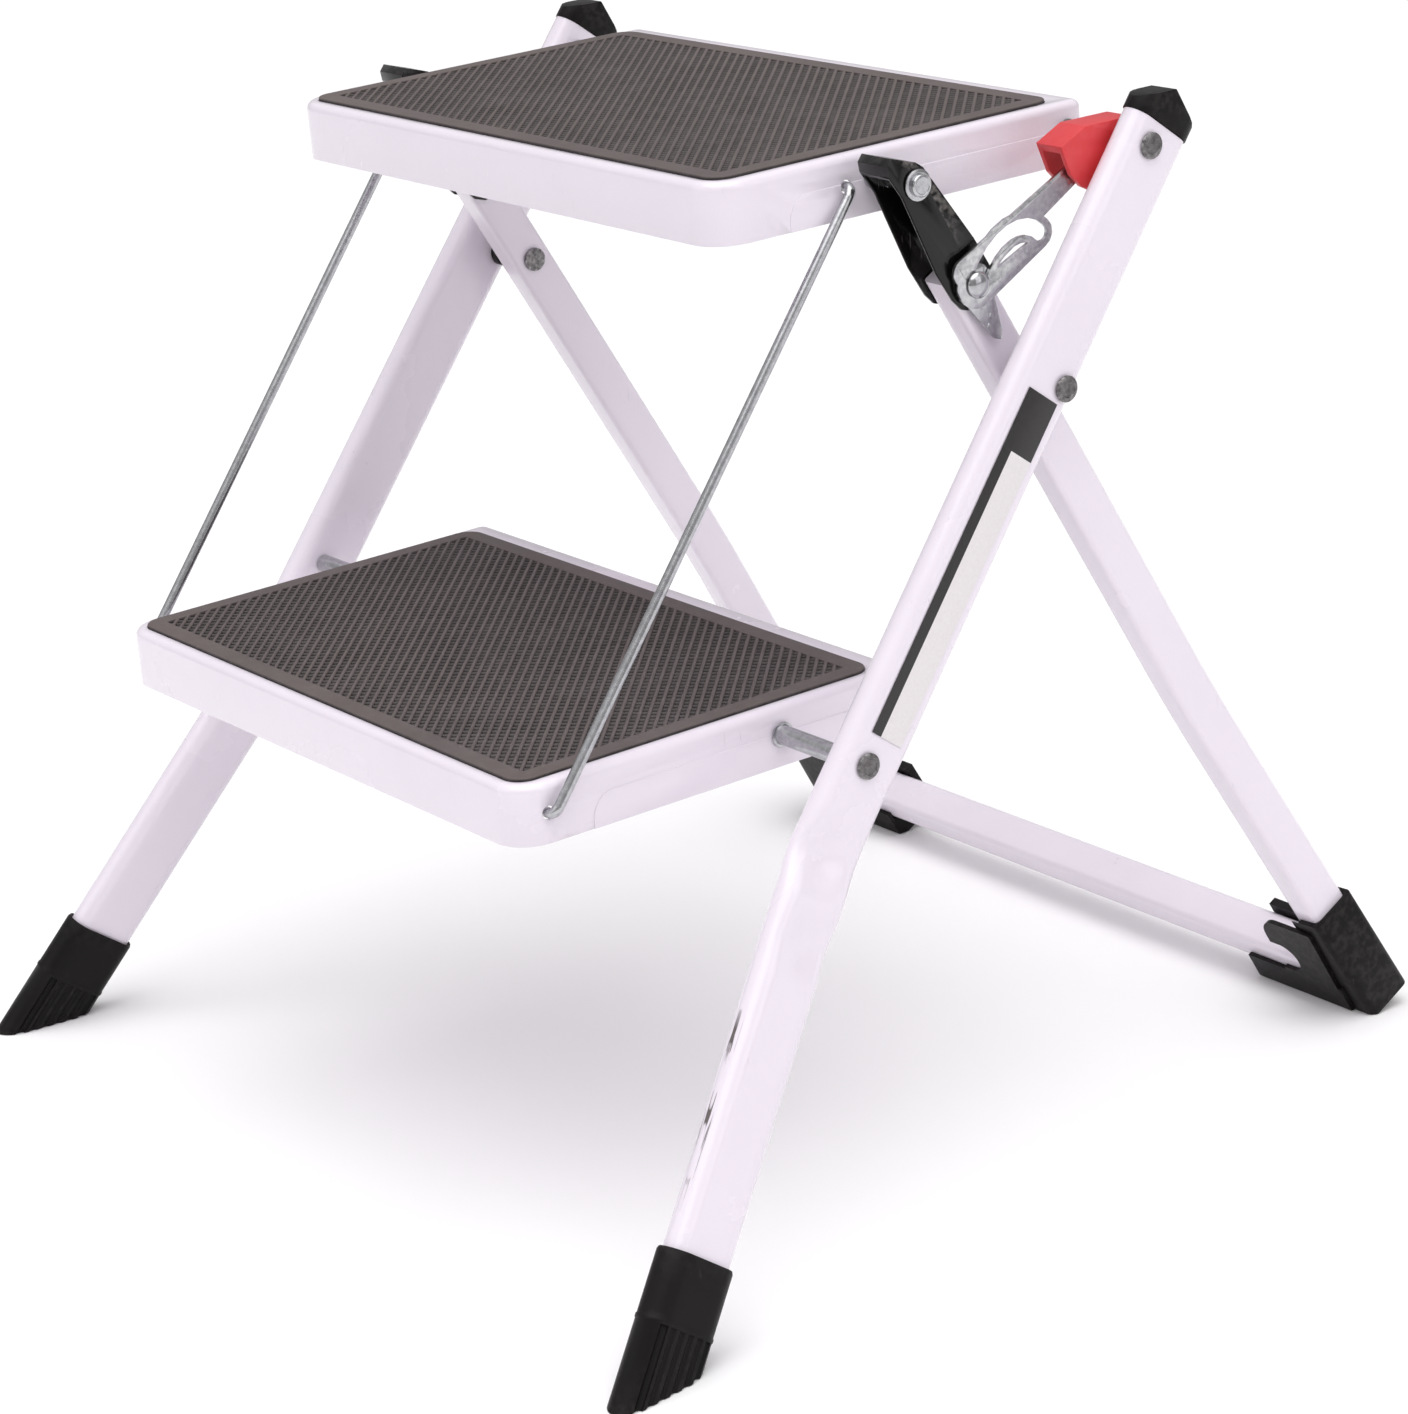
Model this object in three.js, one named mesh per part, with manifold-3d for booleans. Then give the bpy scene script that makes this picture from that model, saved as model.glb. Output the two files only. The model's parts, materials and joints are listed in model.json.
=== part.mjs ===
// Two-tread folding step stool, in millimetres. X runs across, Y towards the back and Z up.
// Side views are drawn in [y, z] from the pivot at the top of the front legs, at y = 0, and the
// finished stool is then centred over the origin. Right-hand pieces are made first and mirrored.

import * as THREE from 'three';
import { mergeVertices } from 'three/addons/utils/BufferGeometryUtils.js';
import Module from 'manifold-3d';

const wasm = await Module();
wasm.setup();

// Overall sizes
const TOP_HEIGHT = 440.7;
const STEP_HEIGHT = 219.4;
const TREAD_HALF_WIDTH = 163;
const TOP_DEPTH = 194;
const STEP_DEPTH = 199;
const FRONT_LEAN = THREE.MathUtils.degToRad(37.86);
const REAR_LEAN = THREE.MathUtils.degToRad(28.4);

// Clearances
const GAP = 0.3;
const PIN_GAP = 0.3;
const RIVET_GAP = 0.5;
const OVERCUT = 8;
const SLIVER = 0.01;
const FLOOR_SPREAD = 1200;
const FLOOR_DEPTH = 100;

// Treads: pressed pans with a mat set into the top
const PAN_WALL = 1.2;
const PAN_SKIRT = 26;
const PAN_EDGE_RADIUS = 3.6;
const PAN_FRONT_RADIUS = 16;
const PAN_BACK_RADIUS = 5;
const PIVOT_DROP = 12;
const TOP_PIVOT_TO_BACK = 11;
const STEP_PIVOT_TO_BACK = 66.5;
const MAT_THICKNESS = 2;
const MAT_RECESS = 1;
const MAT_SIDE_INSET = 6.8;
const MAT_FRONT_INSET = 6;
const MAT_BACK_INSET = 11.5;
const MAT_CORNER = 9;

// Front legs: flat-oval tube, splayed outwards below the lower tread
const FRONT_TUBE_WIDTH = 14.1;
const FRONT_TUBE_DEPTH = 32.9;
const FRONT_TUBE_WALL = 1.5;
const FRONT_AXIS_X = 208.25;
const FRONT_UPPER_SPLAY = 0.022;
const FRONT_LOWER_SPLAY = 0.267;
const FRONT_BEND_HEIGHT = 173.5;
const FRONT_AXIS_BEHIND_PIVOTS = 3.5;
const FRONT_TOP_ABOVE_PIVOT = 10;
const FRONT_END_HEIGHT = 16;
const BEND_LENGTH = 26;
const BEND_STEPS = 4;

// Front feet and top caps
const FOOT_LENGTH = 53;
const FOOT_WIDTH = 18;
const FOOT_DEPTH = 37.4;
const CAP_OVERHANG = 0.6;
const CAP_SIDE = 4.8;
const CAP_CHAMFER = 2.2;
const CAP_PEAK = 15.6;
const CAP_PEAK_AHEAD = 3.5;
const CAP_BACK = 6;
const CAP_PLUG = 4.5;

// Rear frame: rectangular tube, crossing the front legs at a pivot
const CROSS_PIVOT_DOWN = 104.8;
const CROSS_PIVOT_BEHIND_AXIS = 9.2;
const REAR_TUBE_WIDTH = 15;
const REAR_TUBE_DEPTH = 20;
const REAR_TUBE_WALL = 1.4;
const REAR_TUBE_CORNER = 2.6;
const REAR_AXIS_X = 182.3;
const REAR_BEND_HEIGHT = 169;
const REAR_LOWER_SPLAY = 0.098;
const REAR_ABOVE_KNEE = 6.5;
const BAR_DEPTH = 20.4;
const BAR_HEIGHT = 13.7;
const BAR_AHEAD = 2;

// Rear boots
const BOOT_SOLE = 12;
const BOOT_LEG_FLOOR = 7;
const BOOT_WEAR = 1.5;
const BOOT_WALL = 2.3;
const BOOT_SLEEVE = 58;
const BOOT_INNER_END = 136.6;
const BOOT_FRONT_WALL = 17;
const BOOT_BACK_WALL = 29;
const BOOT_SLEEVE_WIDTH = 21.6;

// Support links: channels from the top tread's sides to the heads of the rear legs
const SUPPORT_REACH = 104;
const KNEE_REACH = 52;
const LINK_SHEET = 1.5;
const LINK_SIDE_GAP = 0.6;
const LINK_BOTTOM_RADIUS = 11.5;
const LINK_FRONT = 12;
const LINK_HEAD_FRONT = 8.5;
const WEB_BACK = 9.6;
const WEB_START = 15;
const HOOD_LIP = 9.5;
const HOOD_LIP_AHEAD = 7.5;
// The hood's side view, outside and inside, in [up, back] along the rear leg from the support pivot
const HOOD_OUTSIDE = [[4, 6.4], [8, 4.4], [17, -4.5], [15.5, -8], [11.5, -9.5]];
const HOOD_INSIDE = [[3, 4.9], [6.6, 3], [15, -5.1], [13.6, -6.9], [HOOD_LIP, -HOOD_LIP_AHEAD]];

// Lock lever on the right-hand side
const LEVER_SHEET = 1.5;
const CATCH_SHEET = 1.4;
const LAYER_GAP = 0.35;
const LEVER_KNEE_RADIUS = 10;
const LEVER_SHOULDER_RADIUS = 6;
const LEVER_SHOULDER_RISE = 8;
const LEVER_SHOULDER_AHEAD = 2;
const LEVER_PIVOT_RADIUS = 7;
const LEVER_STRIP = 3;
const SLOT_GAP = 0.5;
const CATCH_RADIUS = 9;
const CATCH_TIP_RADIUS = 2.6;
const CATCH_TIP_DOWN = 26;
const CATCH_TIP_AHEAD = 1.5;
const ROUND_SEGMENTS = 24;
const HANDLE_INNER_X = 183.2;
const HANDLE_OUTER_X = 199.2;
const HANDLE_WALL = 2.5;
// The handle's side views, in [y, z] from the top pivot
const HANDLE_SHELL = [
  [-33.6, 3.7], [-29.1, -8.9], [-24, -14.5], [-15.7, -19.1], [-3, -14],
  [10, -6], [10, 5], [5.5, 9.6], [-20.1, 9.9],
];
const HANDLE_HOLLOW = [
  [-36, -4], [-36, -30], [8, -30], [8, 4], [4.5, 7.8], [-19.6, 7.9], [-31, 2.4],
];
const HANDLE_NOTCH = [[-23, -22], [-17, -3], [-10, -3], [-9, -22]];

// Fold: how far each piece has turned when the stool is shut, in degrees
const REAR_FOLD = 57.5;
const LEVER_FOLD = 23;
const SLOT_STEPS = 8;

// Pins, rivets and tie rods
const PIVOT_PIN_RADIUS = 2.9;
const KNEE_PIN_RADIUS = 3;
const RIVET_HEAD_RADIUS = 5.6;
const RIVET_HEAD = 1.9;
const RIVET_FACE_RADIUS = 3.9;
const RIVET_EDGE = 1.1;
const TAIL_HEAD_RADIUS = 5.8;
// The knee pin's domed head, in [rise, radius]
const KNEE_DOME = [[0, 5.6], [1.6, 5], [2.8, 3.4], [3.2, 1.4]];
const SLEEVE_RADIUS = 4.2;
const WASHER_RADIUS = 6.6;
const WASHER_THICKNESS = 6.2;
const STUD_RADIUS = 5;
const STUD_REACH = 6.6;
const LINK_PIN_START = 7.3;
const LINK_PIN_WASHER = 1;
const LINK_PIN_EDGE = 3;
const LINK_PIN_FACE = 3.4;
const LINK_PIN_HEAD_RADIUS = 4.8;
const ROD_RADIUS = 2.25;
const ROD_AHEAD = 117;
const ROD_RAISE = 0.9;
const ROD_FROM_WALL = 4;
const ROD_HOOK = 4.5;

// Blank label on the right front leg
const LABEL_BELOW_CROSS_PIVOT = 7.5;
const LABEL_ABOVE_STEP_PIVOT = 13;
const LABEL_WIDTH = 17.6;
const LABEL_THICKNESS = 0.2;

const PAINT = { color: 0xece3f0, roughness: 0.35, metalness: 0.1 };
const RUBBER = { color: 0x3f3838, roughness: 0.8, metalness: 0 };
const BLACK_PLASTIC = { color: 0x1f1d1d, roughness: 0.5, metalness: 0 };
const BLACK_STEEL = { color: 0x1a1818, roughness: 0.3, metalness: 0.4 };
const RED_PLASTIC = { color: 0xd8404a, roughness: 0.4, metalness: 0 };
const ZINC = { color: 0xb4b6ba, roughness: 0.35, metalness: 0.9 };
const PAPER = { color: 0xe9e4e4, roughness: 0.6, metalness: 0 };

// ---- Side-view geometry -------------------------------------------------------------------

const frontUp = [Math.sin(FRONT_LEAN), Math.cos(FRONT_LEAN)];
const frontBack = [Math.cos(FRONT_LEAN), -Math.sin(FRONT_LEAN)];
const rearUp = [-Math.sin(REAR_LEAN), Math.cos(REAR_LEAN)];
const rearBack = [Math.cos(REAR_LEAN), Math.sin(REAR_LEAN)];

// A point at given distances along two side-view directions from a starting point
function offset(start, up, alongUp, back, alongBack) {
  return [
    start[0] + up[0] * alongUp + back[0] * alongBack,
    start[1] + up[1] * alongUp + back[1] * alongBack,
  ];
}

// A side-view point turned about another
function turned(point, centre, degrees) {
  const angle = THREE.MathUtils.degToRad(degrees);
  const y = point[0] - centre[0];
  const z = point[1] - centre[1];
  return [
    centre[0] + y * Math.cos(angle) - z * Math.sin(angle),
    centre[1] + y * Math.sin(angle) + z * Math.cos(angle),
  ];
}

const onFrontLeg = (start, up, back) => offset(start, frontUp, up, frontBack, back);
const onRearLeg = (start, up, back) => offset(start, rearUp, up, rearBack, back);

const topPivot = [0, TOP_HEIGHT - PIVOT_DROP];
const pivotFall = TOP_HEIGHT - STEP_HEIGHT;
const stepPivot = onFrontLeg(topPivot, -pivotFall / frontUp[1], 0);
const crossPivot = onFrontLeg(
  topPivot, -CROSS_PIVOT_DOWN, FRONT_AXIS_BEHIND_PIVOTS + CROSS_PIVOT_BEHIND_AXIS);
const kneePivot = onRearLeg(crossPivot, KNEE_REACH, 0);
const supportPivot = onRearLeg(crossPivot, SUPPORT_REACH, 0);
const rodTop = [topPivot[0] - ROD_AHEAD, topPivot[1] - ROD_RAISE];
const rodBottom = [stepPivot[0] - ROD_AHEAD, stepPivot[1] - ROD_RAISE];

// Distance across, from the middle of the stool to each leg's centreline
function frontAxisX(height) {
  const upper = Math.min(topPivot[1] - height, topPivot[1] - FRONT_BEND_HEIGHT);
  const lower = Math.max(FRONT_BEND_HEIGHT - height, 0);
  return FRONT_AXIS_X + upper * FRONT_UPPER_SPLAY + lower * FRONT_LOWER_SPLAY;
}

function rearAxisX(height) {
  return REAR_AXIS_X + Math.max(REAR_BEND_HEIGHT - height, 0) * REAR_LOWER_SPLAY;
}

const frontInner = (height) => frontAxisX(height) - FRONT_TUBE_WIDTH / 2;
const frontOuter = (height) => frontAxisX(height) + FRONT_TUBE_WIDTH / 2;

// Layers outwards from the rear leg's outer face at the knee
const linkInnerX = REAR_AXIS_X - REAR_TUBE_WIDTH / 2 - LINK_SIDE_GAP - LINK_SHEET;
const linkOuterX = REAR_AXIS_X + REAR_TUBE_WIDTH / 2 + LINK_SIDE_GAP + LINK_SHEET;
const catchX = linkOuterX + LAYER_GAP;
const leverX = catchX + CATCH_SHEET + LAYER_GAP;
const leverOuterX = leverX + LEVER_SHEET;

// ---- Solids -------------------------------------------------------------------------------

// A closed geometry as a manifold solid, with its vertices merged and flat slivers dropped
function solid(geometry) {
  const bare = geometry.clone();
  for (const name of ['normal', 'uv']) {
    bare.deleteAttribute(name);
  }
  const merged = mergeVertices(bare, 1e-4);
  const corners = merged.index.array;
  const triangles = [];
  for (let i = 0; i < corners.length; i += 3) {
    const [a, b, c] = corners.slice(i, i + 3);
    if (a !== b && b !== c && a !== c) {
      triangles.push(a, b, c);
    }
  }
  const mesh = new wasm.Mesh({
    numProp: 3,
    vertProperties: new Float32Array(merged.attributes.position.array),
    triVerts: new Uint32Array(triangles),
  });
  return new wasm.Manifold(mesh);
}

function geometryOf(manifold) {
  const mesh = manifold.getMesh();
  const geometry = new THREE.BufferGeometry();
  geometry.setAttribute('position', new THREE.BufferAttribute(mesh.vertProperties, 3));
  geometry.setIndex(new THREE.BufferAttribute(mesh.triVerts, 1));
  return geometry;
}

const cut = (body, ...tools) => tools.reduce((rest, tool) => rest.subtract(tool), body);
const join = (body, ...others) => others.reduce((whole, other) => whole.add(other), body);

// A side-view shape in [y, z], extruded across from one x to another
function across(shape, fromX, toX, options = {}) {
  const geometry = new THREE.ExtrudeGeometry(shape, {
    depth: toX - fromX, bevelEnabled: false, curveSegments: 4, ...options,
  });
  geometry.applyMatrix4(new THREE.Matrix4().makeBasis(
    new THREE.Vector3(0, 1, 0), new THREE.Vector3(0, 0, 1), new THREE.Vector3(1, 0, 0)));
  geometry.translate(fromX, 0, 0);
  return solid(geometry);
}

function outline(points) {
  return new THREE.Shape(points.map(([a, b]) => new THREE.Vector2(a, b)));
}

// A cylinder along X through a side-view point
function bar([y, z], radius, fromX, toX, segments = 16) {
  const geometry = new THREE.CylinderGeometry(radius, radius, toX - fromX, segments);
  geometry.rotateZ(-Math.PI / 2);
  geometry.translate((fromX + toX) / 2, y, z);
  return solid(geometry);
}

// A turned pin along X: its profile is a list of [x, radius], closed onto the axis at both ends
function pin([y, z], profile, segments = 16) {
  const points = profile.map(([x, radius]) => new THREE.Vector2(radius, x));
  const last = profile[profile.length - 1];
  points.unshift(new THREE.Vector2(0, profile[0][0]));
  points.push(new THREE.Vector2(0, last[0]));
  const geometry = new THREE.LatheGeometry(points, segments);
  geometry.rotateZ(-Math.PI / 2);
  geometry.translate(0, y, z);
  return solid(geometry);
}

function ring(centre, radius, bore, fromX, toX) {
  return cut(bar(centre, radius, fromX, toX), bar(centre, bore, fromX - 1, toX + 1));
}

function roundedRectangle(width, height, radius) {
  const w = width / 2;
  const h = height / 2;
  const shape = new THREE.Shape();
  shape.moveTo(w - radius, -h);
  shape.absarc(w - radius, -h + radius, radius, -Math.PI / 2, 0);
  shape.absarc(w - radius, h - radius, radius, 0, Math.PI / 2);
  shape.absarc(-w + radius, h - radius, radius, Math.PI / 2, Math.PI);
  shape.absarc(-w + radius, -h + radius, radius, Math.PI, Math.PI * 1.5);
  return shape;
}

// A path through points, with the section square to the bisector at each bend
class BentPath extends THREE.Curve {
  constructor(points) {
    super();
    this.points = points;
  }

  getUtoTmapping(u) {
    return u;
  }

  getPoint(t, target = new THREE.Vector3()) {
    const place = t * (this.points.length - 1);
    const start = Math.min(Math.floor(place), this.points.length - 2);
    return target.lerpVectors(this.points[start], this.points[start + 1], place - start);
  }

  getTangent(t, target = new THREE.Vector3()) {
    const last = this.points.length - 1;
    const here = Math.round(t * last);
    const before = Math.max(here - 1, 0);
    const after = Math.min(here + 1, last);
    const arriving = this.points[Math.max(here, 1)].clone().sub(this.points[before]).normalize();
    const leaving = this.points[after].clone().sub(this.points[Math.min(here, last - 1)]);
    return target.copy(arriving).add(leaving.normalize()).normalize();
  }
}

// The corners of a route, with each inner corner rounded over a length to either side
function roundedRoute(corners, length, steps) {
  const points = [corners[0]];
  for (let i = 1; i < corners.length - 1; i += 1) {
    const corner = corners[i];
    const start = corner.clone().lerp(corners[i - 1], length / corner.distanceTo(corners[i - 1]));
    const end = corner.clone().lerp(corners[i + 1], length / corner.distanceTo(corners[i + 1]));
    points.push(...new THREE.QuadraticBezierCurve3(start, corner, end).getPoints(steps));
  }
  points.push(corners[corners.length - 1]);
  return points;
}

function tube(points, shape, curveSegments = 2) {
  const geometry = new THREE.ExtrudeGeometry(shape, {
    extrudePath: new BentPath(points), steps: points.length - 1, curveSegments,
  });
  return solid(geometry);
}

function mirrored(manifold) {
  return manifold.mirror([1, 0, 0]);
}

// ---- Front frame --------------------------------------------------------------------------

// A point on the front leg's centreline at a height
function frontAxis(height) {
  const start = onFrontLeg(topPivot, 0, FRONT_AXIS_BEHIND_PIVOTS);
  const y = start[0] + (height - start[1]) * Math.tan(FRONT_LEAN);
  return new THREE.Vector3(frontAxisX(height), y, height);
}

const frontTopHeight = onFrontLeg(topPivot, FRONT_TOP_ABOVE_PIVOT, FRONT_AXIS_BEHIND_PIVOTS)[1];

function frontRoute(topHeight, endHeight) {
  const corners = [frontAxis(topHeight), frontAxis(FRONT_BEND_HEIGHT), frontAxis(endHeight)];
  return roundedRoute(corners, BEND_LENGTH, BEND_STEPS);
}

function flatOval(growth) {
  const width = FRONT_TUBE_WIDTH + growth * 2;
  return roundedRectangle(width, FRONT_TUBE_DEPTH + growth * 2, width / 2 - SLIVER);
}

function frontLeg() {
  const shape = flatOval(0);
  shape.holes.push(flatOval(-FRONT_TUBE_WALL));
  const outerX = frontOuter(0);
  const holes = [topPivot, stepPivot, crossPivot].map(
    (pivot) => bar(pivot, PIVOT_PIN_RADIUS + PIN_GAP, TREAD_HALF_WIDTH, outerX));
  return cut(tube(frontRoute(frontTopHeight, FRONT_END_HEIGHT), shape), ...holes);
}

// A moulded cap on the leg's top end: level at the front, then a long slope down to the back
function frontCap() {
  const end = onFrontLeg(topPivot, FRONT_TOP_ABOVE_PIVOT + GAP, FRONT_AXIS_BEHIND_PIVOTS);
  const half = FRONT_TUBE_DEPTH / 2 + CAP_OVERHANG;
  const profile = outline([
    onFrontLeg(end, 0, -half),
    onFrontLeg(end, CAP_SIDE, -half),
    onFrontLeg(end, CAP_SIDE + CAP_CHAMFER, CAP_CHAMFER - half),
    onFrontLeg(end, CAP_PEAK, -CAP_PEAK_AHEAD),
    onFrontLeg(end, CAP_PEAK - 1, CAP_CHAMFER - CAP_PEAK_AHEAD),
    onFrontLeg(end, CAP_BACK, half),
    onFrontLeg(end, 0, half),
  ].reverse());
  const reach = FRONT_TUBE_WIDTH;
  const side = across(profile, FRONT_AXIS_X - reach, FRONT_AXIS_X + reach);
  const low = frontAxis(frontTopHeight - OVERCUT);
  const high = frontAxis(frontTopHeight + CAP_PEAK * 2);
  const column = tube([low, high], flatOval(CAP_OVERHANG));
  const plugEnd = frontAxis(frontTopHeight - CAP_PLUG);
  const plug = tube([plugEnd, frontAxis(frontTopHeight + 2)], flatOval(-FRONT_TUBE_WALL - GAP));
  return join(side.intersect(column), plug);
}

function floorCut() {
  const floor = new THREE.BoxGeometry(FLOOR_SPREAD, FLOOR_SPREAD, FLOOR_DEPTH);
  floor.translate(0, 0, -FLOOR_DEPTH / 2);
  return solid(floor);
}

function frontFoot() {
  const footTop = FOOT_LENGTH * Math.cos(FRONT_LEAN);
  const section = roundedRectangle(FOOT_WIDTH, FOOT_DEPTH, FOOT_WIDTH / 2 - SLIVER);
  const outer = tube([frontAxis(footTop), frontAxis(-FOOT_LENGTH)], section);
  const pocketRoute = [frontAxis(footTop + OVERCUT), frontAxis(FRONT_END_HEIGHT - GAP)];
  return cut(outer, tube(pocketRoute, flatOval(GAP)), floorCut());
}

// A pivot pin through the front leg, with its flat rivet head on the leg's outer face
function legPin(pivot, tailX, tailRadius) {
  const headX = frontOuter(pivot[1]) + RIVET_GAP;
  const neckX = tailX + RIVET_HEAD;
  return pin(pivot, [
    [tailX, tailRadius],
    [neckX, tailRadius],
    [neckX, PIVOT_PIN_RADIUS],
    [headX, PIVOT_PIN_RADIUS],
    [headX, RIVET_HEAD_RADIUS],
    [headX + RIVET_EDGE, RIVET_HEAD_RADIUS],
    [headX + RIVET_HEAD, RIVET_FACE_RADIUS],
  ]);
}

const treadTailX = TREAD_HALF_WIDTH - PAN_WALL - GAP - RIVET_HEAD;
const crossTailX = REAR_AXIS_X - REAR_TUBE_WIDTH / 2 - GAP - RIVET_HEAD;

// Spacer sleeves on the pivot pins, between the treads and whatever lies outside them
function spacer(pivot, fromX, toX, radius) {
  return ring(pivot, radius, PIVOT_PIN_RADIUS + PIN_GAP, fromX + GAP, toX - GAP);
}

function crossWasher() {
  const legX = frontInner(crossPivot[1]);
  return spacer(crossPivot, legX - WASHER_THICKNESS, legX, WASHER_RADIUS);
}

// A paper label lying on the flat of the leg's outer side
function blankLabel() {
  const section = roundedRectangle(LABEL_THICKNESS, LABEL_WIDTH, LABEL_THICKNESS / 2 - SLIVER);
  const lift = new THREE.Vector3(FRONT_TUBE_WIDTH / 2 + GAP + LABEL_THICKNESS / 2, 0, 0);
  const top = onFrontLeg(crossPivot, -LABEL_BELOW_CROSS_PIVOT, -CROSS_PIVOT_BEHIND_AXIS);
  const bottom = onFrontLeg(stepPivot, LABEL_ABOVE_STEP_PIVOT, FRONT_AXIS_BEHIND_PIVOTS);
  return tube([top[1], bottom[1]].map((height) => frontAxis(height).add(lift)), section);
}

// ---- Treads -------------------------------------------------------------------------------

// A tread's outline seen from above, with the front corners rounder than the back ones
function treadOutline(frontY, backY, halfWidth, frontRadius, backRadius) {
  const shape = new THREE.Shape();
  shape.moveTo(-halfWidth + frontRadius, frontY);
  shape.absarc(halfWidth - frontRadius, frontY + frontRadius, frontRadius, -Math.PI / 2, 0);
  shape.absarc(halfWidth - backRadius, backY - backRadius, backRadius, 0, Math.PI / 2);
  shape.absarc(-halfWidth + backRadius, backY - backRadius, backRadius, Math.PI / 2, Math.PI);
  shape.absarc(
    -halfWidth + frontRadius, frontY + frontRadius, frontRadius, Math.PI, Math.PI * 1.5);
  return shape;
}

function slab(shape, bottomZ, topZ, edge) {
  const options = edge > 0
    ? { bevelThickness: edge, bevelSize: edge, bevelOffset: -edge, bevelSegments: 3 }
    : { bevelEnabled: false };
  const depth = topZ - bottomZ - edge;
  const geometry = new THREE.ExtrudeGeometry(shape, { depth, curveSegments: 3, ...options });
  geometry.translate(0, 0, bottomZ);
  return solid(geometry);
}

const treadBounds = (pivot, depth, toBack) => [pivot[0] + toBack - depth, pivot[0] + toBack];

function matOutline([frontY, backY], growth) {
  return treadOutline(
    frontY + MAT_FRONT_INSET - growth, backY - MAT_BACK_INSET + growth,
    TREAD_HALF_WIDTH - MAT_SIDE_INSET + growth, MAT_CORNER + growth, MAT_CORNER + growth);
}

// A pan: top plate and skirt, open below, with holes for its pivots, tie rods and studs
function pan(bounds, topZ, holes) {
  const [frontY, backY] = bounds;
  const bottomZ = topZ - PAN_SKIRT;
  const outer = slab(treadOutline(
    frontY, backY, TREAD_HALF_WIDTH, PAN_FRONT_RADIUS, PAN_BACK_RADIUS),
  bottomZ - OVERCUT, topZ, PAN_EDGE_RADIUS);
  const inner = slab(treadOutline(
    frontY + PAN_WALL, backY - PAN_WALL, TREAD_HALF_WIDTH - PAN_WALL,
    PAN_FRONT_RADIUS - PAN_WALL, PAN_BACK_RADIUS - PAN_WALL),
  bottomZ - OVERCUT * 2, topZ - MAT_RECESS - PAN_WALL, PAN_EDGE_RADIUS - PAN_WALL);
  const recess = slab(matOutline(bounds, GAP), topZ - MAT_RECESS, topZ + OVERCUT, 0);
  const trim = new THREE.BoxGeometry(TREAD_HALF_WIDTH * 3, TOP_DEPTH * 3, OVERCUT * 4);
  trim.translate(0, frontY, bottomZ - OVERCUT * 2);
  const reach = TREAD_HALF_WIDTH + OVERCUT;
  const drills = holes.map(([point, radius]) => bar(point, radius, -reach, reach));
  return cut(outer, inner, recess, solid(trim), ...drills);
}

function topStep() {
  const bounds = treadBounds(topPivot, TOP_DEPTH, TOP_PIVOT_TO_BACK);
  return pan(bounds, TOP_HEIGHT, [
    [topPivot, PIVOT_PIN_RADIUS + PIN_GAP],
    [rodTop, ROD_RADIUS + PIN_GAP],
    [supportPivot, KNEE_PIN_RADIUS + PIN_GAP],
  ]);
}

function lowerStep() {
  const bounds = treadBounds(stepPivot, STEP_DEPTH, STEP_PIVOT_TO_BACK);
  return pan(bounds, STEP_HEIGHT, [
    [stepPivot, PIVOT_PIN_RADIUS + PIN_GAP],
    [rodBottom, ROD_RADIUS + PIN_GAP],
  ]);
}

function mat(pivot, depth, toBack, topZ) {
  const bottomZ = topZ - MAT_RECESS + GAP;
  const bounds = treadBounds(pivot, depth, toBack);
  return slab(matOutline(bounds, 0), bottomZ, bottomZ + MAT_THICKNESS, 0);
}

// A stud riveted through the top tread's side wall, where the support link's pin meets it
function supportStud() {
  const wallX = TREAD_HALF_WIDTH;
  return pin(supportPivot, [
    [treadTailX, TAIL_HEAD_RADIUS],
    [treadTailX + RIVET_HEAD, TAIL_HEAD_RADIUS],
    [treadTailX + RIVET_HEAD, KNEE_PIN_RADIUS],
    [wallX + GAP, KNEE_PIN_RADIUS],
    [wallX + GAP, STUD_RADIUS],
    [wallX + STUD_REACH, STUD_RADIUS],
  ]);
}

// A wire tie rod, hooked through the side walls of both treads
function tieRod() {
  const rodX = TREAD_HALF_WIDTH + ROD_FROM_WALL;
  const innerX = TREAD_HALF_WIDTH - PAN_WALL - ROD_HOOK;
  const corners = [
    new THREE.Vector3(innerX, ...rodTop),
    new THREE.Vector3(rodX, ...rodTop),
    new THREE.Vector3(rodX, ...rodBottom),
    new THREE.Vector3(innerX, ...rodBottom),
  ];
  const section = new THREE.Shape();
  section.absarc(0, 0, ROD_RADIUS, 0, Math.PI * 2);
  return tube(roundedRoute(corners, ROD_FROM_WALL, BEND_STEPS), section, 5);
}

// ---- Rear frame ---------------------------------------------------------------------------

function rearAxis(height) {
  const y = crossPivot[0] + (crossPivot[1] - height) * Math.tan(REAR_LEAN);
  return new THREE.Vector3(rearAxisX(height), y, height);
}

// The boot's sole is square to the leg, with its front edge just worn flat on the floor
const bootHalfDepth = REAR_TUBE_DEPTH / 2 + GAP + BOOT_WALL;
const soleHeight = bootHalfDepth * Math.sin(REAR_LEAN) - BOOT_WEAR;
const sole = [rearAxis(soleHeight).y, soleHeight];
const rearEndHeight = onRearLeg(sole, BOOT_LEG_FLOOR, 0)[1];
const barCentre = onRearLeg(sole, BOOT_SOLE + BAR_HEIGHT / 2, -BAR_AHEAD);

function rearSection(growth) {
  return roundedRectangle(
    REAR_TUBE_WIDTH + growth * 2, REAR_TUBE_DEPTH + growth * 2, REAR_TUBE_CORNER + growth);
}

function rearRoute(endHeight) {
  const top = onRearLeg(kneePivot, REAR_ABOVE_KNEE, 0);
  const corners = [rearAxis(top[1]), rearAxis(REAR_BEND_HEIGHT), rearAxis(endHeight)];
  return roundedRoute(corners, BEND_LENGTH, BEND_STEPS);
}

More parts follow.
